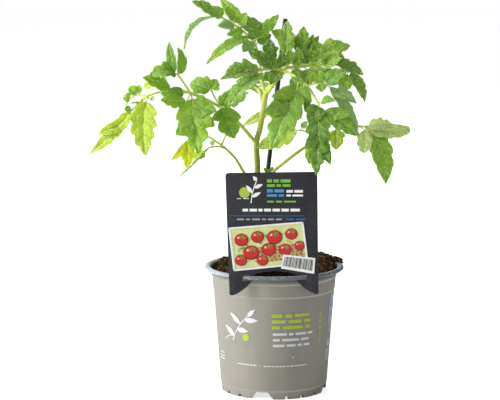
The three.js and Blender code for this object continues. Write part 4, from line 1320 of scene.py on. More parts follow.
def fibre(seed):
    """A thin bent fibre that lies along the ground."""
    dice = random.Random(seed)
    points, faces = [], []
    sway = [dice.uniform(-FIBRE_SWAY, FIBRE_SWAY) for _ in range(FIBRE_STEPS + 1)]
    for i in range(FIBRE_STEPS + 1):
        thick = FIBRE_RADIUS * (1 - 0.6 * abs(2 * i / FIBRE_STEPS - 1))
        along, rise = FIBRE_LENGTH * i / FIBRE_STEPS - FIBRE_LENGTH / 2, 0.3 * sway[i - 1] + 0.2
        for k in range(FIBRE_SIDES):
            angle = 2 * math.pi * k / FIBRE_SIDES
            points.append((along, sway[i] + thick * math.cos(angle), rise + thick * math.sin(angle)))
    for i in range(FIBRE_STEPS):
        for k in range(FIBRE_SIDES):
            a, b = i * FIBRE_SIDES + k, i * FIBRE_SIDES + (k + 1) % FIBRE_SIDES
            faces.append((a, a + FIBRE_SIDES, b + FIBRE_SIDES, b))
    faces += [(0, 1, 2), tuple(FIBRE_STEPS * FIBRE_SIDES + k for k in (2, 1, 0))]
    return mesh_object("fibre", np.array(points) * MM, faces, smooth=False)


def is_top(face):
    """Whether all corners of a face of the soil lie on its top."""
    corners = soil_points[list(face)]
    return all(z > SOIL_EDGE_Z - 2 and math.hypot(x, y) < SOIL_EDGE for x, y, z in corners)


def soil_top():
    """Only the top of the soil, to scatter over."""
    return mesh_object("top", soil_points * MM, [face for face in soil_faces if is_top(face)])


finish_piece(scattered(
    "soil_crumbs", soil_top(), [crumb(seed) for seed in range(5)], CRUMBS,
    Density=900000.0, Smallest=0.5, Largest=2.1, Tilt=3.1, Seed=4,
))
finish_piece(scattered(
    "soil_fibres", soil_top(), [fibre(seed) for seed in range(4)], CRUMBS,
    Density=90000.0, Smallest=0.6, Largest=1.8, Tilt=0.35, Seed=9,
))

# %% [markdown]
# Loose lumps of peat lie over the back right of the heap and on the rim there. They are larger than the
# crumbs, so they aren't scattered but set one by one along the rim, each a lump of its own with a rough
# skin.

# %% Lumps on the rim
RIM_LUMPS = [
    (33, 50, 110.5, 2.6), (38, 46, 111, 3.2), (43, 41, 111.5, 3.4), (47.5, 36, 111, 3), (51, 31, 110.5, 2.6),
    (54.5, 22, 111, 3.2), (57.5, 16, 111, 2.8), (58.5, 10, 110.5, 2), (30, 46, 109, 2.6), (24, 48, 108, 2.2),
    (45, 33, 110, 3.2), (40, 37, 110.5, 3), (49, 26, 110, 2.8), (-44, 37, 109, 2), (-47, 31, 108.5, 1.8),
    (-38, 42, 108.5, 1.8), (52, 17, 110, 2.4), (36, 41, 111.5, 2.6), (51, 8, 108, 2.6), (50, 0, 107.5, 2.4),
    (49.5, -7, 107, 2.2), (52, 4, 108.5, 1.8),
]
LUMP_ROUGH, LUMP_FLAT, LUMP_GRAIN = 0.55, 0.7, 0.55


def lump(place, radius, dice):
    """A rough lump of peat, in mm: a ball pushed in and out by noise."""
    shape = bmesh.new()
    bmesh.ops.create_icosphere(shape, subdivisions=3, radius=radius)
    turn = Vector((dice.uniform(0, 50), dice.uniform(0, 50), dice.uniform(0, 50)))
    for point in shape.verts:
        point.co *= 1 + LUMP_ROUGH * noise.fractal(point.co * LUMP_GRAIN + turn, 0.7, 2.2, 5)
        point.co.z *= LUMP_FLAT
        point.co += Vector(place)
    shape.verts.index_update()
    points = [tuple(point.co) for point in shape.verts]
    faces = [tuple(point.index for point in face.verts) for face in shape.faces]
    shape.free()
    return points, faces


lump_dice = random.Random(21)
lump_points, lump_faces = [], []
for *place, radius in RIM_LUMPS:
    points, faces = lump(place, radius, lump_dice)
    lump_faces += [tuple(len(lump_points) + k for k in face) for face in faces]
    lump_points += points


def lump_skin(name, materials=()):
    """All the lumps as one object."""
    return mesh_object(name, np.array(lump_points) * MM, lump_faces, materials)


finish_piece(lump_skin("soil_lumps", [PEAT]))
finish_piece(scattered(
    "lump_crumbs", lump_skin("skin"), [crumb(seed) for seed in range(5, 9)], CRUMBS,
    Density=700000.0, Smallest=0.5, Largest=1.9, Tilt=3.1, Seed=14,
))
finish_piece(scattered(
    "lump_fibres", lump_skin("skin"), [fibre(seed) for seed in range(4, 7)], CRUMBS,
    Density=110000.0, Smallest=0.5, Largest=1.5, Tilt=0.9, Seed=19,
))

# %% [markdown]
# The stake is a thin black rod that leans a little to the right. The main stem is pale green, as thick
# as a pencil lead's casing, and kinks a little at each leaf, as tomato stems do. A bevelled curve could
# give both. A Geometry Nodes tree does it here: it sweeps a circle along a path and scales it by the
# radius that the path has at each place.

# %% The swept stem
PATH_GRAIN = 24
TUBE_SHARP = math.radians(50)


def swept_group():
    """A tube along the curve, as thick as the curve's radius."""
    group, given = geometry_group("Swept tube", {"Sides": ("Int", 16), "Step": ("Float", 0.0015)})
    lengths = {"Curve": given["Geometry"], "Length": given["Step"]}
    even = out_of(group, "GeometryNodeResampleCurve", "Curve", lengths, mode="LENGTH")
    sides = {"Resolution": given["Sides"], "Radius": 1}
    ring = out_of(group, "GeometryNodeCurvePrimitiveCircle", "Curve", sides)
    radius = out_of(group, "GeometryNodeInputRadius", "Radius")
    inputs = {"Curve": even, "Profile Curve": ring, "Scale": radius, "Fill Caps": True}
    return end_tree(group, given, out_of(group, "GeometryNodeCurveToMesh", "Mesh", inputs))


SWEPT_TUBE = swept_group()


def smooth_path(corners, count):
    """Evenly spaced points on a smooth curve through the corners."""
    given = np.array(corners, float)
    padded = np.vstack([2 * given[0] - given[1], given, 2 * given[-1] - given[-2]])
    fine = []
    for before, start, end, after in zip(padded, padded[1:], padded[2:], padded[3:]):
        for share in np.linspace(0, 1, PATH_GRAIN, endpoint=False):
            leave, arrive = (end - before) / 2, (after - start) / 2
            square, cube = share ** 2, share ** 3
            fine.append(
                (2 * cube - 3 * square + 1) * start + (cube - 2 * square + share) * leave
                + (3 * square - 2 * cube) * end + (cube - square) * arrive
            )
    fine = np.array(fine + [given[-1]])
    run = np.concatenate([[0], np.cumsum(np.linalg.norm(np.diff(fine, axis=0), axis=1))])
    even = np.linspace(0, run[-1], count)
    return np.column_stack([np.interp(even, run, fine[:, axis]) for axis in range(3)])


def swept(name, path, radii, sides, material):
    """A tube along a path in mm, with a radius in mm at each of its points."""
    data = bpy.data.curves.new(name, "CURVE")
    data.dimensions = "3D"
    spline = data.splines.new("POLY")
    spline.points.add(len(path) - 1)
    for point, place, radius in zip(spline.points, path, radii):
        point.co = (*(place * MM), 1)
        point.radius = radius * MM
    piece = apply_nodes(in_scene(name, data), SWEPT_TUBE, Sides=sides, Material=material)
    piece.data.shade_smooth()
    piece.data.set_sharp_from_angle(angle=TUBE_SHARP)
    return piece


print("the tube's tree has", len(SWEPT_TUBE.nodes), "nodes")

# %% [markdown]
# The stake is a nearly black green plastic, drawn out lengthwise, so its streaks run along it. The stem
# and the stalks have a soft skin with a downy bloom, olive at the foot of the plant and a fresh yellow
# green at its top. One colour for each could do. The finish mixes in the yellow by height instead,
# because it is the light from above that keeps the top young.

# %% The stake's and the stem's finishes
YOUNG_SHARE = 0.8
YOUNG_TINT = (222, 234, 112)


def stake_finish():
    """Nearly black green plastic with faint lengthwise streaks."""
    material, tree, shader = finish_of("support_stake", (27, 33, 31), 0.4)
    streaks = mottled(tree, scale=400, detail=3, stretch=0.05)
    feed(shader, {
        "Base Color": mixed(streaks, (20, 26, 25), (38, 46, 43)),
        "Normal": grained(tree, scale=900, depth=0.00008),
    })
    return material


def stalk_finish(name, dark, light, pale, young):
    """Soft green skin with lengthwise streaks and a downy bloom, more yellow above the height young."""
    material, tree, shader = finish_of(
        name, light, 0.55,
        Specular_IOR_Level=0.25, Sheen_Weight=0.12, Subsurface_Weight=0.12, Subsurface_Scale=0.002,
        Subsurface_Radius=(0.6, 1.0, 0.2),
    )
    streaked = mixed(mottled(tree, scale=500, detail=3, stretch=0.12), dark, light)
    bloom = ramped(mottled(tree, scale=60, detail=2), 0.3, 1.0, 0.0, 0.5)
    fresher = ramped(object_axes(tree)["Z"], young - 0.02, young + 0.03, 0.0, YOUNG_SHARE)
    feed(shader, {
        "Base Color": mixed(fresher, mixed(bloom, streaked, pale), YOUNG_TINT),
        "Normal": grained(tree, scale=1800, depth=0.0002),
    })
    return material


STAKE = stake_finish()
STEM = stalk_finish("main_stem", (138, 154, 52), (164, 180, 70), (196, 206, 110), 0.215)
STALK = stalk_finish("leaf_stalks", (160, 188, 52), (188, 210, 72), (210, 224, 112), 0.172)
print("the stem's finishes are", STEM.name, "and", STALK.name)

# %% The stake and the stem
STAKE_RADIUS = 2
STAKE_AT_SOIL = np.array([-14.6, 12, 110])
STAKE_TOP = np.array([9.8, 22, 323])
STAKE_FOOT_Z = 30
TUBE_SIDES = 20
STEM_BASE_RADIUS = 3
STEM_TIP_RADIUS = 2.2
STEM_POINTS = 160
STEM_PATH = [
    (-15, 0, 65), (-15, 0, 112), (-14.5, 0, 190), (-15.5, 0, 216), (-12.5, 0, 229),
    (-9.5, 0, 246), (-7, 0, 260), (-1, 0, 269), (9, 1, 281), (11, 3, 290),
]

stake_slope = (STAKE_TOP - STAKE_AT_SOIL) / (STAKE_TOP - STAKE_AT_SOIL)[2]
stake_foot = STAKE_AT_SOIL + (STAKE_FOOT_Z - STAKE_AT_SOIL[2]) * stake_slope
stake_path = np.array([stake_foot, STAKE_TOP])
stake = swept("finished_stake", stake_path, [STAKE_RADIUS] * 2, TUBE_SIDES, STAKE)
finish_piece(stake, "support_stake")

stem_path = smooth_path(STEM_PATH, STEM_POINTS)
stem_radii = STEM_BASE_RADIUS + (STEM_TIP_RADIUS - STEM_BASE_RADIUS) * np.linspace(0, 1, STEM_POINTS)
stem = swept("finished_stem", stem_path, stem_radii, TUBE_SIDES, STEM)
finish_piece(stem, "main_stem")

# %% [markdown]
# A tomato leaflet is a soft blade with a toothed edge. A side vein runs to each large tooth, and the
# blade puffs up between the veins, so the light breaks into small patches on it. The underside is paler
# and carries the veins as ridges. A picture of a leaf could be laid on every blade. Then all of them
# would look the same, so the blade's own numbers go to the shader as an attribute: the distance from the
# midrib, the place between two side veins and how near the edge is. The shader draws the veins from
# these, with the fine net between them from a cell pattern. A coarser cell pattern, three rows of cells
# to a pair of side veins, puckers the blade: each cell is a small pillow, and the crease round it gets
# a painted shade. Young leaves near the top pucker most, and pale streaks of painted highlight run
# beside their side veins, so each leaf says how crinkled it is. Pale spots of painted sheen lie over
# every blade.

# %% The veins
SIDE_STRENGTH, LESSER_STRENGTH = 0.6, 0.35
LESSER_WIDTH = 0.6
NET_SCALE = 500
NET_WIDTH = 0.16
CELLS_PER_MM = 0.38
CELL_ROWS = 3.0
STREAK_ROWS = 3.0


def soft_line(distance, width, strength):
    """The strength where the distance is 0, which fades softly to nothing at the width."""
    inputs = {"Value": distance, "From Max": width, "To Min": strength, "To Max": 0}
    tree = tree_of(distance)
    return out_of(tree, "ShaderNodeMapRange", "Result", inputs, interpolation_type="SMOOTHSTEP")


def off_middle(value):
    """How far the value is from the middle between two whole numbers."""
    return worked("ABSOLUTE", worked("SUBTRACT", worked("FRACT", value), 0.5))


def cell_edge(place, scale):
    """The distance from the edge of a cell."""
    inputs = {"Vector": place, "Scale": scale}
    tree = tree_of(place)
    return out_of(tree, "ShaderNodeTexVoronoi", "Distance", inputs, feature="DISTANCE_TO_EDGE")


def veins_group():
    """The masks of a blade, from 0 to 1: its veins, the net, its pillows and the streaks of painted
    highlight.
    """
    outputs = {"Veins": "Float", "Net": "Float", "Pillows": "Float", "Streaks": "Float"}
    group, given = pattern_group("Veins", {"Midrib Width": 0.55, "Side Width": 0.09}, outputs)
    blade = attribute(group, "blade", "Vector")
    parts = add_node(group, "ShaderNodeSeparateXYZ", {"Vector": blade}).outputs
    midrib = soft_line(worked("ABSOLUTE", parts["X"]), given["Midrib Width"], 1)
    halfway = off_middle(parts["Y"])
    narrowed = times(given["Side Width"], worked("SUBTRACT", 1.15, parts["Z"]))
    side = soft_line(worked("SUBTRACT", 0.5, halfway), narrowed, SIDE_STRENGTH)
    lesser = soft_line(halfway, times(narrowed, LESSER_WIDTH), LESSER_STRENGTH)
    net = soft_line(cell_edge(on_object(group), NET_SCALE), NET_WIDTH, 1)
    cells = {"X": times(parts["X"], CELLS_PER_MM), "Y": times(parts["Y"], CELL_ROWS)}
    cells = out_of(group, "ShaderNodeCombineXYZ", "Vector", cells)
    aside = off_middle(times(parts["Y"], STREAK_ROWS))
    add_node(group, "NodeGroupOutput", {
        "Veins": worked("MAXIMUM", worked("MAXIMUM", midrib, side), lesser),
        "Net": times(net, ramped(parts["Z"], 0.2, 1.1, 1.0, 0.0)),
        "Pillows": ramped(cell_edge(cells, 1), 0.0, 0.4),
        "Streaks": ramped(aside, 0.0, 0.3, 1.0, 0.0),
    })
    return group


VEINS = veins_group()
print("the veins' group has", len(VEINS.nodes), "nodes")

# %% The leaf's finish
DEEP_TINT = (0.54, 0.73, 0.5, 1)
LIGHT_TINT = (0.34, 0.41, 0.2, 1)
LEAF_BUMP = 0.0003


def leaf_finish():
    """A leaflet's tone: cloudy patches, pale veins, a net, a pale underside, painted crease shade and painted
    highlights.
    """
    material, tree, shader = finish_of(
        "leaf", (132, 166, 66), 0.5,
        Specular_IOR_Level=0.25, Sheen_Weight=0.05, Subsurface_Weight=0.35, Subsurface_Scale=0.0018,
        Subsurface_Radius=(0.75, 1.0, 0.3),
    )

    def blended(kind, tint):
        inputs = {"Factor": 1, "A": tone, "B": tint}
        return out_of(tree, "ShaderNodeMix", "Result", inputs, data_type="RGBA", blend_type=kind)

    tone = attribute(tree, "tone", "Color")
    crinkle = attribute(tree, "crinkle")
    veins = add_node(tree, "ShaderNodeGroup", node_tree=VEINS).outputs
    cloud = mottled(tree, scale=90, detail=3)
    fine = mottled(tree, scale=420, detail=4)
    deep, light = blended("MULTIPLY", DEEP_TINT), blended("SCREEN", LIGHT_TINT)
    # Painted shade: the creases round the pillows are darkened, most on crinkled leaves.
    painted_crease_shade = times(worked("SUBTRACT", 1.0, veins["Pillows"]), crinkle)
    clouded = times(worked("ADD", cloud, fine), 0.28)
    shade = worked("ADD", clouded, times(painted_crease_shade, 0.45))
    patched_and_shaded = mixed(shade, tone, deep)
    # Painted sheen: pale spots where the fine noise is high.
    painted_sheen = mixed(ramped(fine, 0.6, 0.9, 0.0, 0.12), patched_and_shaded, (212, 226, 160))
    netted = mixed(times(times(veins["Net"], 0.45), crinkle), painted_sheen, light)
    # Painted highlight: pale streaks beside the side veins of crinkled leaves.
    broken = ramped(fine, 0.35, 0.65, 0.0, 0.9)
    streaks = times(times(veins["Streaks"], broken), crinkle)
    streaked = mixed(streaks, netted, light)
    veined = mixed(times(veins["Veins"], 0.95), streaked, light)
    lines = times(worked("ADD", veins["Net"], veins["Veins"]), 0.35)
    pillows = times(times(veins["Pillows"], 2.2), crinkle)
    height = worked("SUBTRACT", worked("ADD", fine, pillows), lines)
    feed(shader, {
        "Base Color": mixed(times(attribute(tree, "under"), 0.55), veined, (186, 208, 124)),
        "Roughness": ramped(fine, 0, 1, 0.42, 0.6),
        "Normal": out_of(tree, "ShaderNodeBump", "Normal", {"Distance": LEAF_BUMP, "Height": height}),
    })
    return material


LEAF = leaf_finish()
# One tone, pale and very bright, is painted light: it brightens leaflets that face away from the lamps.
TONES = {
    "fresh": (148, 188, 54),
    "mid": (130, 172, 52),
    "deep": (98, 142, 34),
    "lime": (192, 216, 68),
    "silvery": (168, 204, 132),
    "frosted": (228, 252, 152),
    "pale": (204, 222, 112),
    "yellowing": (222, 218, 40),
}
print("the leaves have", len(TONES), "tones")

# %% [markdown]
# A leaflet is swept along its midrib, a gentle arc from its base to its tip. It could be cut out of a
# flat sheet. Here rows of points lie across it, close enough that each tooth gets several, because then
# its bulges and its edge follow the same veins. The edge of every row is set by where it falls between
# two side veins: it swells towards the tip of a tooth and drops sharply behind it, so the teeth point
# forwards. A lobe is a smaller blade that starts on the midrib of a larger one, just behind its face. A
# blunt leaflet has a round tip.

# %% A leaflet's measures
POINTED = (2.43, 0.85)
BLUNT = (1.95, 0.45)
TIP_WIDTH = 0.5
FOLD = 0.16
FEWEST_ROWS = 14
ROW_STEP = 0.8
HALF_COLUMNS = [0.08, 0.22, 0.38, 0.54, 0.7, 0.85, 0.95, 1]
COLUMNS = np.array([-value for value in HALF_COLUMNS[::-1]] + [0] + HALF_COLUMNS)
BLADE = 0.36
EDGE_BLADE = 0.14
RIB, RIB_REACH = 0.55, 0.5
TOOTH_DEPTH = 0.46
TOOTH_SIZES = (0.35, 1.25)
FULL_REACH = 1.2
NARROWEST, BROAD = 7, 14
TOOTH_DROP = 0.24
TOOTH_START = 0.15
FEWEST_VEINS, MOST_VEINS = 2, 5
VEIN_LEAN = 0.85
GROOVE, GROOVE_REACH = 0.12, 0.6
PUFF = 0.7
WAVE = 0.035
END_HEIGHT = 0.3
LOBE_BEHIND = 0.5
EDGE_NEARNESS = 1.1


def unit(vector):
    """The vector, or each of a list of vectors, with the length 1."""
    return vector / np.linalg.norm(vector, axis=-1, keepdims=True)


def tooth_edge(phase):
    """The edge's reach for a place between two side veins: full at the tooth's tip, least behind it."""
    place = phase % 1
    rise = np.sin(math.pi / 2 * np.clip((place - TOOTH_DROP) / (1 - TOOTH_DROP), 0, 1)) ** 0.75
    return np.where(place < TOOTH_DROP, 1 - place / TOOTH_DROP, rise)


def read_leaflet(leaflet):
    """A leaflet's numbers: base, tip, width, look and arch, and its extras by name."""
    base, tip, width, look, arch, *rest = leaflet
    extras = rest[0] if rest else {}
    return np.array(base, float), np.array(tip, float), width, unit(np.array(look, float)), arch, extras


def midrib_of(base, tip, look, arch, bow, shares):
    """Places and forward directions along the midrib."""
    chord = tip - base
    rise = unit(look - chord * look.dot(chord) / chord.dot(chord))
    sideways = unit(np.cross(chord, rise))
    middle = (base + tip) / 2 + 2 * arch * rise + 2 * bow * sideways
    s = shares[:, None]
    places = (1 - s) ** 2 * base + 2 * s * (1 - s) * middle + s ** 2 * tip
    forward = unit(2 * (1 - s) * (middle - base) + 2 * s * (tip - middle))
    return places, forward


print("a leaflet has", len(COLUMNS), "points to a row")

# %% One leaflet
def leaflet_shell(leaflet, dice):
    """The points, faces and blade numbers of one leaflet."""
    base, tip, width, look, arch, extras = read_leaflet(leaflet)
    length = np.linalg.norm(tip - base)
    rows = max(FEWEST_ROWS, math.ceil(length / ROW_STEP))
    shares = np.linspace(0, 1, rows + 1)
    places, forward = midrib_of(base, tip, look, arch, extras.get("bow", 0), shares)
    up = unit(look - forward * (forward @ look)[:, None])
    side = np.cross(forward, up)
    lobe = extras.get("lobe", False)
    swell, taper = BLUNT if extras.get("blunt") else POINTED
    half = width / 2 * swell * shares ** (0.35 if lobe else 0.5) * (1 - shares) ** taper
    half = np.maximum(half, TIP_WIDTH / 2)
    veins = min(MOST_VEINS, max(FEWEST_VEINS, round(length / (0.45 * width + 3))))
    start = dice.uniform(0, 1)
    wave = dice.uniform(0, 2 * math.pi)
    curl = dice.uniform(-0.1, 0.05)
    broad = min(1, max(0, (width - NARROWEST) / (BROAD - NARROWEST)))
    deep = TOOTH_DEPTH * (0.3 + 0.7 * broad) * (0.6 if lobe else 1) * extras.get("teeth", 1)
    teeth = np.array([dice.uniform(*TOOTH_SIZES) for _ in range(4 * veins + 8)])
    along = shares[:, None]
    rim, sign = np.abs(COLUMNS)[None, :], np.sign(COLUMNS)[None, :]
    across = rim * half[:, None]
    phase = veins * (along - VEIN_LEAN * across / length) + start + 0.5 * (sign > 0)
    for which in (-1, 1):
        edge_phase = veins * (shares - VEIN_LEAN * half / length) + start + 0.5 * (which > 0)
        own = teeth[np.floor(edge_phase).astype(int) + 2 * veins + 2 * (which > 0)]
        reach = FULL_REACH - deep * own * (1 - tooth_edge(edge_phase))
        grown = half * (reach - 1) * np.sin(math.pi / 2 * np.clip(shares / TOOTH_START, 0, 1))
        grown[[0, -1]] = 0
        across += (sign == which) * grown[:, None] * rim ** 2
    puffed = np.abs(np.sin(math.pi * phase)) ** 0.8 * np.sin(math.pi * rim ** 0.8) ** 0.7
    height = FOLD * across + curl * across * rim ** 2
    height += PUFF * (0.25 + 0.75 * broad) * puffed
    height -= GROOVE * np.exp(-(across / GROOVE_REACH) ** 2)
    height += WAVE * width * np.sin(2 * math.pi * veins * 0.8 * along + wave + sign) * rim ** 2
    height[[0, -1]] *= END_HEIGHT
    if lobe:
        height = height - LOBE_BEHIND * (1 - along)
    flat = places[:, None, :] + (sign * across)[:, :, None] * side[:, None, :]
    upper = flat + height[:, :, None] * up[:, None, :]
    thickness = EDGE_BLADE + (BLADE - EDGE_BLADE) * (1 - rim ** 4)
    thickness = thickness + RIB * np.exp(-(across / RIB_REACH) ** 2) * (1 - 0.6 * along)
    lower = upper - thickness[:, :, None] * up[:, None, :]
    points = np.vstack([upper.reshape(-1, 3), lower.reshape(-1, 3)])
    nearness = np.broadcast_to(rim * broad + EDGE_NEARNESS * (1 - broad), phase.shape)
    blade = np.stack([sign * across, phase, nearness], axis=2).reshape(-1, 3)
    return points, closed_sheet(rows + 1, len(COLUMNS)), np.vstack([blade, blade]), up


def closed_sheet(rows, columns):
    """The faces of a closed sheet: an upper grid, a lower grid and the strip around them."""
    lower = rows * columns
    faces = []
    for i in range(rows - 1):
        for k in range(columns - 1):
            a = i * columns + k
            cell = (a, a + 1, a + columns + 1, a + columns)
            faces += [cell, tuple(lower + corner for corner in reversed(cell))]
    border = list(range(columns)) + [i * columns + columns - 1 for i in range(1, rows)]
    border += [(rows - 1) * columns + k for k in range(columns - 2, -1, -1)]
    border += [i * columns for i in range(rows - 2, 0, -1)]
    faces += [(here, lower + here, lower + on, on) for here, on in looped(border)]
    return faces


print("a sheet of 3 by 3 points has", len(closed_sheet(3, 3)), "faces")

# %% [markdown]
# The stalks of a leaf are tubes. Each leaflet hangs on a thin stalk of its own, which leaves the nearest
# part of the leaf's stalks and runs on under the midrib. The swept tree could make them too, one by one,
# but a leaf is a single mesh with its blades, so a tube is carried along its path without any twist, and
# both of its ends are closed.

# %% Tubes
FIRST_CAP, LAST_CAP = 0.5, 0.7
UPRIGHT = 0.9
FINE_POINTS = 81
FOOT_BACK = 0.5
UNDER_SHARES = np.array([0.0, 0.06, 0.13])
UNDER_GAP = 0.3
LEAFLET_STALK_POINTS, LEAFLET_STALK_SIDES = 12, 7


def tube_shell(path, radii, sides):
    """The points and faces of a closed tube along a path."""
    path, radii = np.array(path, float), np.array(radii, float)
    forward = unit(np.gradient(path, axis=0))
    across = np.cross(forward[0], (0, 0, 1) if abs(forward[0][2]) < UPRIGHT else (1, 0, 0))
    points = []
    for place, along, radius in zip(path, forward, radii):
        across = unit(across - along * across.dot(along))
        other = np.cross(along, across)
        points += [place + radius * (x * across + y * other) for x, y in circle(1, sides)]
    points.append(path[0] - FIRST_CAP * radii[0] * forward[0])
    points.append(path[-1] + LAST_CAP * radii[-1] * forward[-1])
    faces, last = [], (len(path) - 1) * sides
    for k in range(sides):
        on = (k + 1) % sides
        for low in range(0, last, sides):
            faces.append((low + k, low + on, low + sides + on, low + sides + k))
        faces.append((len(points) - 2, on, k))
        faces.append((len(points) - 1, last + k, last + on))
    return np.array(points), faces


def nearest_foot(base, stalks):
    """Where a leaflet's stalk leaves the leaf's stalks, a little back towards the stem."""
    best = None
    for corners, _, _ in stalks:
        path = smooth_path(corners, FINE_POINTS)
        distances = np.linalg.norm(path - base, axis=1)
        nearest = int(np.argmin(distances))
        if best is None or distances[nearest] < best[0]:
            length = np.linalg.norm(np.diff(path, axis=0), axis=1).sum()
            best = (distances[nearest], path, nearest, length)
    distance, path, nearest, length = best
    return path[max(0, round(nearest - (FINE_POINTS - 1) * FOOT_BACK * distance / length))]


def leaflet_stalk(leaflet, foot, up):
    """The leaflet's own stalk, from its foot to a little way along the midrib's underside."""
    base, tip, width, look, arch, extras = read_leaflet(leaflet)
    places, _ = midrib_of(base, tip, look, arch, extras.get("bow", 0), UNDER_SHARES)
    path = smooth_path([foot, *(places - UNDER_GAP * up[0])], LEAFLET_STALK_POINTS)
    thick = 0.42 + 0.014 * width
    radii = np.linspace(1.15 * thick, 0.35 * thick, LEAFLET_STALK_POINTS)
    return tube_shell(path, radii, LEAFLET_STALK_SIDES)


print("a short tube has", len(tube_shell([(0, 0, 0), (0, 0, 1)], [1, 1], 10)[1]), "faces")

# %% Every leaf
STALK_SIDES = 10
BLADE_KIND, STALK_KIND = 0, 1


class Growth:
    """The points, faces and blade numbers of one leaf while it grows."""

    def __init__(self, crinkle=0.0):
        self.points, self.faces, self.kinds = [], [], []
        self.blade, self.tone, self.under = [], [], []
        self.count = 0
        self.crinkle = crinkle

    def add(self, points, faces, kind=STALK_KIND, tone="fresh", blade=None):
        """Adds a part. A part with blade numbers is a leaflet, whose lower half is its underside."""
        self.points.append(points)
        self.faces += [tuple(self.count + k for k in face) for face in faces]
        self.kinds += [kind] * len(faces)
        self.blade.append(np.zeros((len(points), 3)) if blade is None else blade)
        self.tone.append(np.tile(light_of(TONES[tone]), (len(points), 1)))
        below = np.zeros((len(points), 1))
        if blade is not None:
            below[len(points) // 2:] = 1
        self.under.append(below)
        self.count += len(points)

    def surface(self, name, materials=()):
        """All parts as one mesh object."""
        return mesh_object(name, np.vstack(self.points) * MM, self.faces, materials)

    def finished(self, name):
        """The leaf with its two finishes and the values that they read."""
        piece = self.surface(name, [LEAF, STALK])
        piece.data.polygons.foreach_set("material_index", self.kinds)
        for label, kind, key, values in (
            ("blade", "FLOAT_VECTOR", "vector", self.blade),
            ("tone", "FLOAT_COLOR", "color", self.tone),
            ("under", "FLOAT", "value", self.under),
            ("crinkle", "FLOAT", "value", [np.full((self.count, 1), self.crinkle)]),
        ):
            layer = piece.data.attributes.new(label, kind, "POINT")
            layer.data.foreach_set(key, np.vstack(values).astype(np.float32).ravel())
        return piece


bare_stalks = Growth()


def grow_leaf(name, leaf, seed):
    """One compound leaf as a finished piece. Its stalks are also kept, for the hairs."""
    dice = random.Random(seed)
    crinkle, stalks, tones, leaflets = leaf
    growth = Growth(crinkle)
    for corners, foot_radius, tip_radius in stalks:
        path = smooth_path(corners, 10 * len(corners))
        tube = tube_shell(path, np.linspace(foot_radius, tip_radius, len(path)), STALK_SIDES)
        growth.add(*tube)
        bare_stalks.add(*tube)
    for leaflet, tone in zip(leaflets, tones.split(), strict=True):
        base, *_, extras = read_leaflet(leaflet)
        points, faces, blade, up = leaflet_shell(leaflet, dice)
        growth.add(points, faces, BLADE_KIND, tone, blade)
        if extras.get("lobe"):
            continue
        foot = np.array(extras["foot"]) if "foot" in extras else nearest_foot(base, stalks)
        stalk = leaflet_stalk(leaflet, foot, up)
        growth.add(*stalk, tone=tone)
        bare_stalks.add(*stalk)
    return growth.finished("finished_" + name)


print("a leaf's stalks have", STALK_SIDES, "sides")

# %% [markdown]
# The table below says of each leaf how crinkled it is, then gives its stalks, the tones of its leaflets
# and the leaflets, in the frame's places, in millimetres. A stalk is a path with the radius at its foot
# and at its tip. A leaflet is its base, its tip, its full width, where its face looks, how far it arches
# and, where it needs them, extras by name: a foot for its stalk, a sideways bow, whether it is a lobe or
# blunt, and how deep its teeth are. Young leaflets are lime and silvery, older ones deep. The rows were
# placed against the photograph. A rule could grow a plant, but not this one.

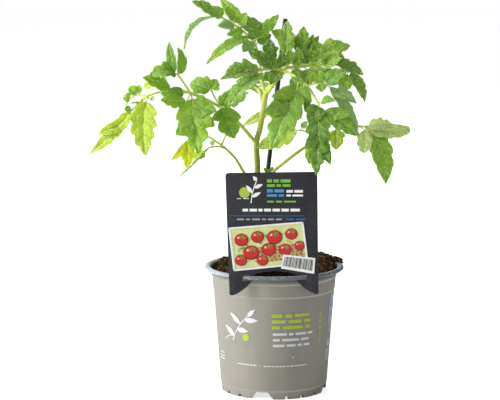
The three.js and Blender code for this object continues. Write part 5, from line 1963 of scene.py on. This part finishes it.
# %% The leaves of the plant
FRONT = [0, -1, 0.3]
UP = [0, -0.35, 1]
LOBE = {"lobe": True}
LEAVES = {}
LEAVES["leaf_left"] = (0.15, [
    [[[-15, 0, 216], [-31, -6, 235], [-48, -12, 250], [-72, -18, 262], [-90, -20, 264.5],
      [-109, -22, 259.5], [-122.5, -24, 247.5]], 1.7, 0.9],
    [[[-109, -22, 259.5], [-116, -21, 261], [-122.5, -21, 258], [-126, -22, 253.5], [-127, -23, 250]],
      0.7, 0.6],
    [[[-72, -18, 262], [-77, -20, 270], [-83, -22, 279]], 1, 0.8],
    [[[-46, -11, 249], [-51, -9, 257], [-54, -8, 263]], 0.8, 0.7],
], (
    "lime lime lime mid lime lime deep fresh lime fresh lime deep fresh mid fresh lime "
    "fresh mid fresh fresh mid mid fresh mid mid mid fresh"
), [
    [[-123, -24, 247], [-158, -28, 211], 10.5, [-0.1, -1, 0.1], 1, {"bow": -2}],
    [[-131, -26, 235], [-150.5, -29, 228], 8, [-0.2, -0.9, 0.3], 1, LOBE],
    [[-133, -25.5, 237.5], [-139.5, -25, 236], 4, FRONT, 0, {"foot": [-129, -25, 238.5]}],
    [[-122.6, -25, 249.1], [-128.2, -26, 249.3], 5, FRONT, 0, {"foot": [-121.3, -23.8, 248.6]}],
    [[-109, -28, 255.5], [-109, -42, 211], 20, [0, -1, 0.3], 2, {"bow": 2.5}],
    [[-105, -25, 256.5], [-102.5, -24, 260], 3, FRONT, 0, {"foot": [-108, -22.5, 258.5]}],
    [[-114, -24, 254], [-122.5, -26, 254.3], 3.5, UP, 0.5, {"foot": [-112, -22.5, 256.7]}],
    [[-117.5, -21, 262], [-124.7, -19, 267.6], 8, FRONT, 1],
    [[-116, -21, 262], [-115.5, -18, 269.5], 5, FRONT, 0],
    [[-123.5, -21, 257.5], [-129.3, -20, 259.5], 7, FRONT, 1],
    [[-126, -23, 249], [-123, -23.5, 247.3], 3.5, FRONT, 0],
    [[-85.5, -23, 280], [-90, -20, 306], 8, [-0.5, -1, 0.1], 1],
    [[-81.8, -22, 279], [-83, -16, 301], 8, [0.5, -1, 0.1], 1, {"bow": 3.5}],
    [[-84.5, -23, 279.5], [-106, -30, 278], 17, [-0.3, -0.7, 0.7], 4],
    [[-89, -23, 266.8], [-112, -34, 277.3], 13, [-0.2, -0.8, 0.6], 2, {"bow": -1}],
    [[-104, -29, 272], [-111.5, -26, 267], 6, FRONT, 0, {"foot": [-99, -28.5, 273.3]}],
    [[-76, -23, 254.5], [-97, -33, 257.5], 13, [-0.1, -1, 0.4], 1, {"foot": [-72, -19, 261]}],
    [[-77.5, -24, 262.5], [-91, -33, 265.5], 8, [0, -1, 0.6], 1],
    [[-82, -16, 258], [-97, -21, 262], 9, [0, -1, 0.3], 1],
    [[-70.5, -22.5, 257.5], [-65.2, -41, 213], 26, [0, -1, 0.42], 2, {"foot": [-71.5, -19, 261.5]}],
    [[-68.5, -32, 239], [-84, -37, 228], 13, [-0.1, -1, 0.4], 1, LOBE],
    [[-70, -25.5, 252], [-49.5, -31, 248], 15, [0.1, -1, 0.4], 1, LOBE],
    [[-69, -29, 242], [-50.5, -35, 236], 13, [0.1, -1, 0.4], 1, LOBE],
    [[-45.3, -17, 249], [-34, -28, 224], 21, [0.1, -1, 0.4], 1, {"foot": [-48, -12.5, 249.8]}],
    [[-44.5, -18, 250.5], [-38, -24, 265], 12, [0.2, -1, 0.4], 1, {"foot": [-47, -13, 249.8]}],
    [[-55.3, -8.5, 264], [-72.6, -1, 269], 16, [-0.2, -1, 0.6], 2],
    [[-54.3, -9, 264.5], [-49.5, -8, 273], 11, [0.2, -1, 0.6], 1],
])
LEAVES["leaf_lower_left"] = (0.1, [
    [[[-15, -1, 176], [-26, -8, 192], [-34, -13, 205.5], [-43, -17, 215], [-50.5, -18, 220.5],
      [-58, -18, 224.5], [-73, -14, 222]], 1.5, 0.8],
    [[[-42, -16.5, 214], [-48, -20, 216.3], [-56, -24, 216]], 0.8, 0.7],
    [[[-45.5, -17.3, 217], [-43.5, -14, 221.5], [-41.5, -11, 226]], 0.8, 0.7],
], "yellowing yellowing frosted lime lime mid", [
    [[-74, -14, 221], [-75, -22, 197], 10.5, FRONT, 1],
    [[-76, -14, 219], [-89.3, -18, 204.5], 6, FRONT, 0, {"foot": [-74, -14, 222], "bow": -2}],
    [[-57, -24.5, 215.5], [-83, -34, 191], 13, [-0.9, 0.1, 0.75], -1],
    [[-54, -24, 218], [-52, -24.5, 222], 4, FRONT, 0],
    [[-60, -26, 212.5], [-70, -27, 207], 7, [-0.3, -1, 0.4], 0, LOBE],
    [[-41.3, -10, 227], [-36, 2, 240], 13, FRONT, 1],
])
LEAVES["leaf_lower_right"] = (0.8, [
    [[[-15, -1, 178], [-1, -8, 193], [13, -12, 205], [26, -16, 215], [39, -18, 223], [53, -18, 230],
      [66, -18, 233], [75, -18, 233.5]], 1.7, 0.9],
    [[[38, -18, 222.5], [30, -20, 228], [21, -22, 231]], 0.8, 0.7],
], "frosted frosted fresh frosted lime lime silvery lime silvery fresh fresh", [
    [[77, -18, 233], [116.6, -14, 230.8], 11.5, [0.1, -0.9, 0.5], 2, {"bow": 4, "teeth": 0.5, "blunt": True}],
    [[81, -18.5, 234], [101, -17, 235.5], 11, [-0.1, -0.9, 0.5], 1, {"foot": [76, -18, 233.4], "teeth": 1.8}],
    [[83, -19.5, 231], [95, -27, 185], 18, [0.35, -1, 0.2], 2,
     {"bow": -2.5, "foot": [76, -18, 233.4], "teeth": 0.4}],
    [[77.5, -20, 230.5], [76, -30, 212], 11.5, FRONT, 1, {"blunt": True}],
    [[52.5, -20, 230.5], [52.3, -28, 214.5], 13.5, FRONT, 1],
    [[33.5, -18, 218], [29.5, -25, 201.5], 11, FRONT, 1],
    [[66, -16.5, 235.5], [59.5, -13, 237.5], 5, FRONT, 0],
    [[19, -22.5, 230.5], [-15, -15, 214.3], 16, [-0.3, -1, 0.4], 1],
    [[23, -21.5, 232.5], [28, -20, 238], 5, FRONT, 0],
    [[-4, -7.5, 191], [-9.5, -9, 196.5], 3.5, FRONT, 0.5],
    [[-3, -7.5, 192], [-1.5, -10, 197.5], 4, FRONT, 0],
])
LEAVES["leaf_front_right"] = (0.4, [
    [[[-6, -0.5, 260], [1, -7, 272], [8, -15, 280], [19, -28, 276], [29, -38, 268], [37, -46, 255]],
      1.5, 0.8],
    [[[27, -36, 270], [36, -34, 272], [45, -33, 270]], 0.8, 0.6],
], (
    "deep deep deep deep mid mid mid mid fresh mid mid deep silvery silvery deep mid "
    "fresh deep"
), [
    [[37, -47, 253], [34.5, -63, 197], 18, [0, -1, 0.3], 2],
    [[37, -47, 254], [28.5, -52, 239], 12, [-0.1, -1, 0.3], 1, LOBE],
    [[36, -56, 230], [25, -60, 220], 8, FRONT, 0, LOBE],
    [[36.3, -56, 230], [46.5, -61, 206], 9, FRONT, 0, LOBE],
    [[42, -48, 250], [71, -53, 229], 15, [0.2, -1, 0.5], 1, {"foot": [38, -47, 253]}],
    [[46, -48, 247], [64, -51, 247], 9, [0.1, -1, 0.6], 1, LOBE],
    [[39, -45.5, 257], [50, -50, 258.5], 8.5, [0.1, -0.9, 0.9], 2],
    [[18, -40, 267], [-3, -57, 219.5], 24, [-0.2, -1, 0.35], 2, {"foot": [21, -31, 274]}],
    [[18, -41, 266], [-3, -49, 262], 9, FRONT, 1, LOBE],
    [[13, -45, 257], [-9.5, -51, 248], 11, FRONT, 1, LOBE],
    [[18, -40, 267], [31, -44, 257], 11, FRONT, 1, LOBE],
    [[28, -42.5, 259.5], [25.5, -46, 248.5], 5, FRONT, 0, {"foot": [27, -42, 262]}],
    [[47, -33.5, 268.5], [71, -40, 232], 10.5, [0.5, -0.8, 0.4], 3],
    [[50, -34, 265.5], [69, -37, 255], 11, [0.4, -0.7, 0.8], 2, LOBE],
    [[43, -33.5, 272.5], [61, -38, 283], 13, [0, -1, 0.6], 1],
    [[38.5, -35, 271], [40, -41, 265.5], 8, FRONT, 0],
    [[34, -35, 273.5], [32.5, -37, 281], 8, FRONT, 0],
    [[14, -27, 275.5], [25, -41, 264.5], 9, [-0.3, -1, 0.4], 0],
])
LEAVES["leaf_front_left"] = (0.9, [
    [[[7.5, 0, 280], [1, -12, 282], [-8, -26, 283], [-15, -35, 283]], 1.3, 0.9],
], "fresh fresh mid mid deep mid deep fresh", [
    [[-16, -36, 282], [-45.5, -57, 277.5], 12, [-0.2, -0.8, 0.7], 2],
    [[-14, -33, 285], [-41.5, -46, 283], 15, [-0.1, -0.9, 0.6], 2],
    [[-11, -33, 280], [-39, -64, 254.5], 18, [-0.5, -0.75, 0.7], 4],
    [[1.1, -20, 279.4], [-10.8, -30, 273.5], 10, [-0.1, -0.9, 0.5], 0],
    [[-1, -19, 284.5], [-20, -24, 298.5], 12, [0.1, -1, 0.5], 1],
    [[3.5, -9, 283.5], [-5, -14, 292.5], 8, FRONT, 0],
    [[6, -6.5, 283.5], [6.8, -10, 297.5], 8, FRONT, 0],
    [[4, -15, 280.5], [-4, -35, 271], 12, [-0.1, -0.9, 0.6], 1],
])
LEAVES["leaf_top_left"] = (0.8, [
    [[[-7.5, 0, 258], [-11, 3, 272], [-13, 4, 289], [-17.5, 5, 303], [-25, 6, 311.5], [-37, 4, 320.5],
      [-50, 1, 327.5]], 1.5, 0.8],
], (
    "fresh deep fresh fresh mid fresh silvery fresh fresh silvery fresh mid mid fresh "
    "fresh mid"
), [
    [[-51, 0.5, 328], [-70.8, -8, 339.5], 11, [-0.1, -0.8, 0.8], 2],
    [[-51.5, -1, 326.5], [-77.3, -10, 298.8], 10, [-0.8, -0.45, 0.5], 8],
    [[-28.5, 7, 320], [-46.5, 15, 340.6], 10.5, FRONT, 1],
    [[-34.5, 2, 324], [-43, -3, 335], 7, [0.2, -1, 0.4], 1],
    [[-28, 7.5, 317], [-14, 15, 321.5], 13, FRONT, 1],
    [[-21.5, 7, 312.5], [-11, 12, 320.5], 11, FRONT, 1],
    [[-35, 0.5, 318.5], [-48.5, -9, 318.5], 9, [-0.2, -1, 0.5], 1],
    [[-22, 1.5, 308.5], [-58.5, -16, 286.5], 10, [-0.4, -0.85, 0.5], 5.5],
    [[-27, 4, 313.5], [-41, 2, 310.5], 7, FRONT, 0],
    [[-19.5, 1.5, 304.5], [-27, -9, 296.5], 9.5, FRONT, 0],
    [[-15, 7, 307], [4, 14, 327], 10, [0, -1, 0.5], 1],
    [[-14.5, 7, 303.5], [-2.6, 12, 310], 8.5, FRONT, 0],
    [[-13.5, 1, 292], [-22.5, -5, 298], 8, FRONT, 0],
    [[-30.5, 3, 319], [-24, -3, 329.5], 9, FRONT, 0],
    [[-45, 0, 325.8], [-53.5, -6, 335.5], 9, FRONT, 0, {"foot": [-46.5, 2, 325.5]}],
    [[-16.5, 4, 306.5], [-21, -1, 316.5], 9, FRONT, 0],
])
LEAVES["leaf_top_right"] = (1, [
    [[[9.8, 1.2, 282], [25, 4, 283], [40, 6, 285], [55, 6, 284], [66, 4, 278]], 1.4, 0.9],
], (
    "mid mid fresh fresh fresh mid deep mid fresh fresh fresh fresh fresh mid fresh fresh "
    "mid fresh"
), [
    [[66.3, 3.5, 277], [77.6, -8, 253.5], 11, [0.5, -0.8, 0.5], 3],
    [[55, 3.5, 286.5], [76.4, -2, 276.5], 13, [0.2, -0.8, 0.8], 1],
    [[34, 9, 293], [65.8, 14, 300], 17, [0.1, -1, 0.6], 3, {"foot": [30, 5, 284]}],
    [[51, 9, 293], [61, 6, 285], 9, FRONT, 1, {"foot": [46, 6, 286]}],
    [[63, 3, 276], [58, -4, 261.5], 14, FRONT, 1],
    [[28, -0.5, 281], [30, -9, 267.5], 13, FRONT, 1],
    [[26.5, 0.5, 285.5], [26.8, -4.5, 301], 8, FRONT, 1],
    [[38, 8.5, 288.5], [34, 4.5, 304.5], 11, FRONT, 1],
    [[33, 1, 286], [42, -5, 297], 13, [0.1, -1, 0.4], 1],
    [[47, 3.5, 288], [56, -5, 296], 11, [0.1, -1, 0.6], 1],
    [[46, 2, 281], [49, -7, 267], 11, FRONT, 1],
    [[16, -0.5, 284.5], [21.5, -5, 292], 9, FRONT, 0],
    [[21.5, -1.5, 286], [20, -8, 300.5], 8, FRONT, 0],
    [[37.5, -2, 287], [39.5, -9, 300.5], 10, FRONT, 0],
    [[43, -3, 286.5], [57.5, -9, 291], 10, [0.1, -1, 0.5], 0],
    [[37, -3, 281.5], [38.5, -10, 268], 11, FRONT, 0],
    [[15.5, -1.5, 280.5], [24.5, -9, 272.4], 9, FRONT, 0],
    [[13, -1.5, 285.5], [13.8, -7, 299], 8, FRONT, 0],
])
LEAVES["shoot_tip"] = (0.9, [
    [[[10.8, 2.6, 288], [13, 4.5, 293], [20, 7, 293], [26, 9, 295]], 1.3, 0.8],
], "fresh fresh deep fresh mid fresh fresh", [
    [[9.8, 5, 294.5], [11.3, 12, 322], 13, [-0.1, -1, 0.2], 1],
    [[11, 8, 307], [-2.6, 10, 313.5], 8, FRONT, 0, LOBE],
    [[0.5, -3.5, 289.5], [-4.2, -8, 308], 14, [0.1, -1, 0.3], 1, {"foot": [12, 4, 291.5], "bow": -2.5}],
    [[23.8, 9.5, 296.5], [25.5, 14, 316.8], 11, [0.1, -1, 0.2], 1],
    [[20, 8, 295], [18.5, 10, 309.5], 5, FRONT, 0],
    [[28, 10, 296], [34, 14, 310], 6, FRONT, 0],
    [[29, 11, 296], [39, 18, 308.5], 6, FRONT, 0],
])
LEAVES["leaf_back_right"] = (0.6, [
    [[[10, 3.4, 283], [14, 16, 288], [22, 38, 290], [32, 62, 286], [38, 78, 278]], 1.5, 0.8],
], "mid deep mid deep mid fresh fresh", [
    [[38, 79, 277], [44, 94, 258], 17, [0.2, 0.8, 0.8], 2],
    [[36, 72, 281], [18, 82, 272], 14, [-0.2, 0.4, 1], 2],
    [[39, 70, 281], [56, 72, 268], 14, [0.4, 0.2, 1], 2],
    [[27, 52, 289], [8, 56, 284], 13, [-0.2, 0.2, 1], 2],
    [[30, 52, 288], [48, 48, 278], 13, [0.3, 0, 1], 2],
    [[20, 36, 290], [5, 34, 292], 9, UP, 1],
    [[24, 36, 290], [37, 32, 286], 9, UP, 1],
])
LEAVES["leaf_back_left"] = (0.6, [
    [[[-9.5, 0.5, 247], [-12, 16, 258], [-17, 38, 264], [-24, 60, 262], [-29, 74, 256]], 1.5, 0.8],
], "mid deep mid deep mid fresh fresh pale", [
    [[-29, 75, 255], [-36, 90, 238], 17, [-0.2, 0.8, 0.8], 2],
    [[-26, 68, 259], [-8, 76, 250], 14, [0.2, 0.4, 1], 2],
    [[-29, 67, 259], [-46, 66, 250], 14, [-0.4, 0.2, 1], 2],
    [[-18, 48, 264.5], [-2, 52, 260], 13, [0.2, 0.2, 1], 2, {"foot": [-19.9, 46.5, 263.8]}],
    [[-22, 48, 264], [-38, 42, 258], 13, [-0.3, 0, 1], 2],
    [[-14, 30, 263], [-26, 24, 266], 9, UP, 1],
    [[-13, 34, 263], [0, 32, 262], 9, UP, 1],
    [[-3, 48, 240], [-28, 48, 226], 7, FRONT, 1, {"foot": [-18, 41, 263.8]}],
])
LEAVES["leaf_back_low"] = (0.3, [
    [[[-15, 1, 146], [-20, 13, 153], [-14, 31, 160], [-3, 53, 165], [5, 74, 160]], 1.5, 0.8],
], "mid deep mid deep mid fresh", [
    [[5, 75, 159], [10, 92, 142], 18, [0.1, 0.8, 0.8], 2],
    [[3, 66, 163], [-16, 76, 154], 15, [-0.3, 0.4, 1], 2],
    [[6, 65, 163], [26, 66, 156], 15, [0.3, 0.3, 1], 2],
    [[-6, 47, 164], [-23, 50, 160], 13, [-0.3, 0.1, 1], 2],
    [[-3, 46, 164], [15, 42, 160], 13, [0.3, 0.1, 1], 2],
    [[-17, 30, 160], [-30, 30, 158], 9, UP, 1],
])
print("the plant has", sum(len(leaflets) for *_, leaflets in LEAVES.values()), "leaflets and lobes")

# %% The leaves grow
for seed, (name, leaf) in enumerate(LEAVES.items(), 1):
    finish_piece(grow_leaf(name, leaf, seed), name)

# %% [markdown]
# Tomato stems and stalks are covered in short pale hairs, which give them a soft bright edge. Strands
# could stand on them. Each hair is a thin three-sided spike instead, because the scatter tree is there
# already, and it stands them on a copy of the stem and the stalks.

# %% The hairs
HAIR_LENGTH = 0.9
HAIR_RADIUS = 0.05
HAIR_CORNERS = (0, 2.094, 4.189)
HAIRS_FROM = 108
SKIN_RADII = (2.8, 2.2)
SKIN_SIDES = 12


def hair_finish():
    """Nearly colourless, a little green at the root."""
    material, tree, shader = finish_of("plant_hairs", (216, 226, 186), 0.4)
    both = times(attribute(tree, "shade"), mottled(tree, scale=900, detail=1))
    feed(shader, {"Base Color": mixed(both, (202, 216, 160), (236, 240, 216))})
    return material


def hair():
    """One upright spike."""
    points = [(HAIR_RADIUS * math.cos(a), HAIR_RADIUS * math.sin(a), 0) for a in HAIR_CORNERS]
    points.append((0, 0, HAIR_LENGTH))
    faces = [(2, 1, 0), (0, 1, 3), (1, 2, 3), (2, 0, 3)]
    return mesh_object("hair", np.array(points) * MM, faces, smooth=False)


above_soil = stem_path[stem_path[:, 2] > HAIRS_FROM]
bare_stalks.add(*tube_shell(above_soil, np.linspace(*SKIN_RADII, len(above_soil)), SKIN_SIDES))
finish_piece(scattered(
    "plant_hairs", bare_stalks.surface("skin"), [hair()], hair_finish(),
    Density=900000.0, Smallest=0.5, Largest=1.25, Tilt=0.5, Seed=21,
))
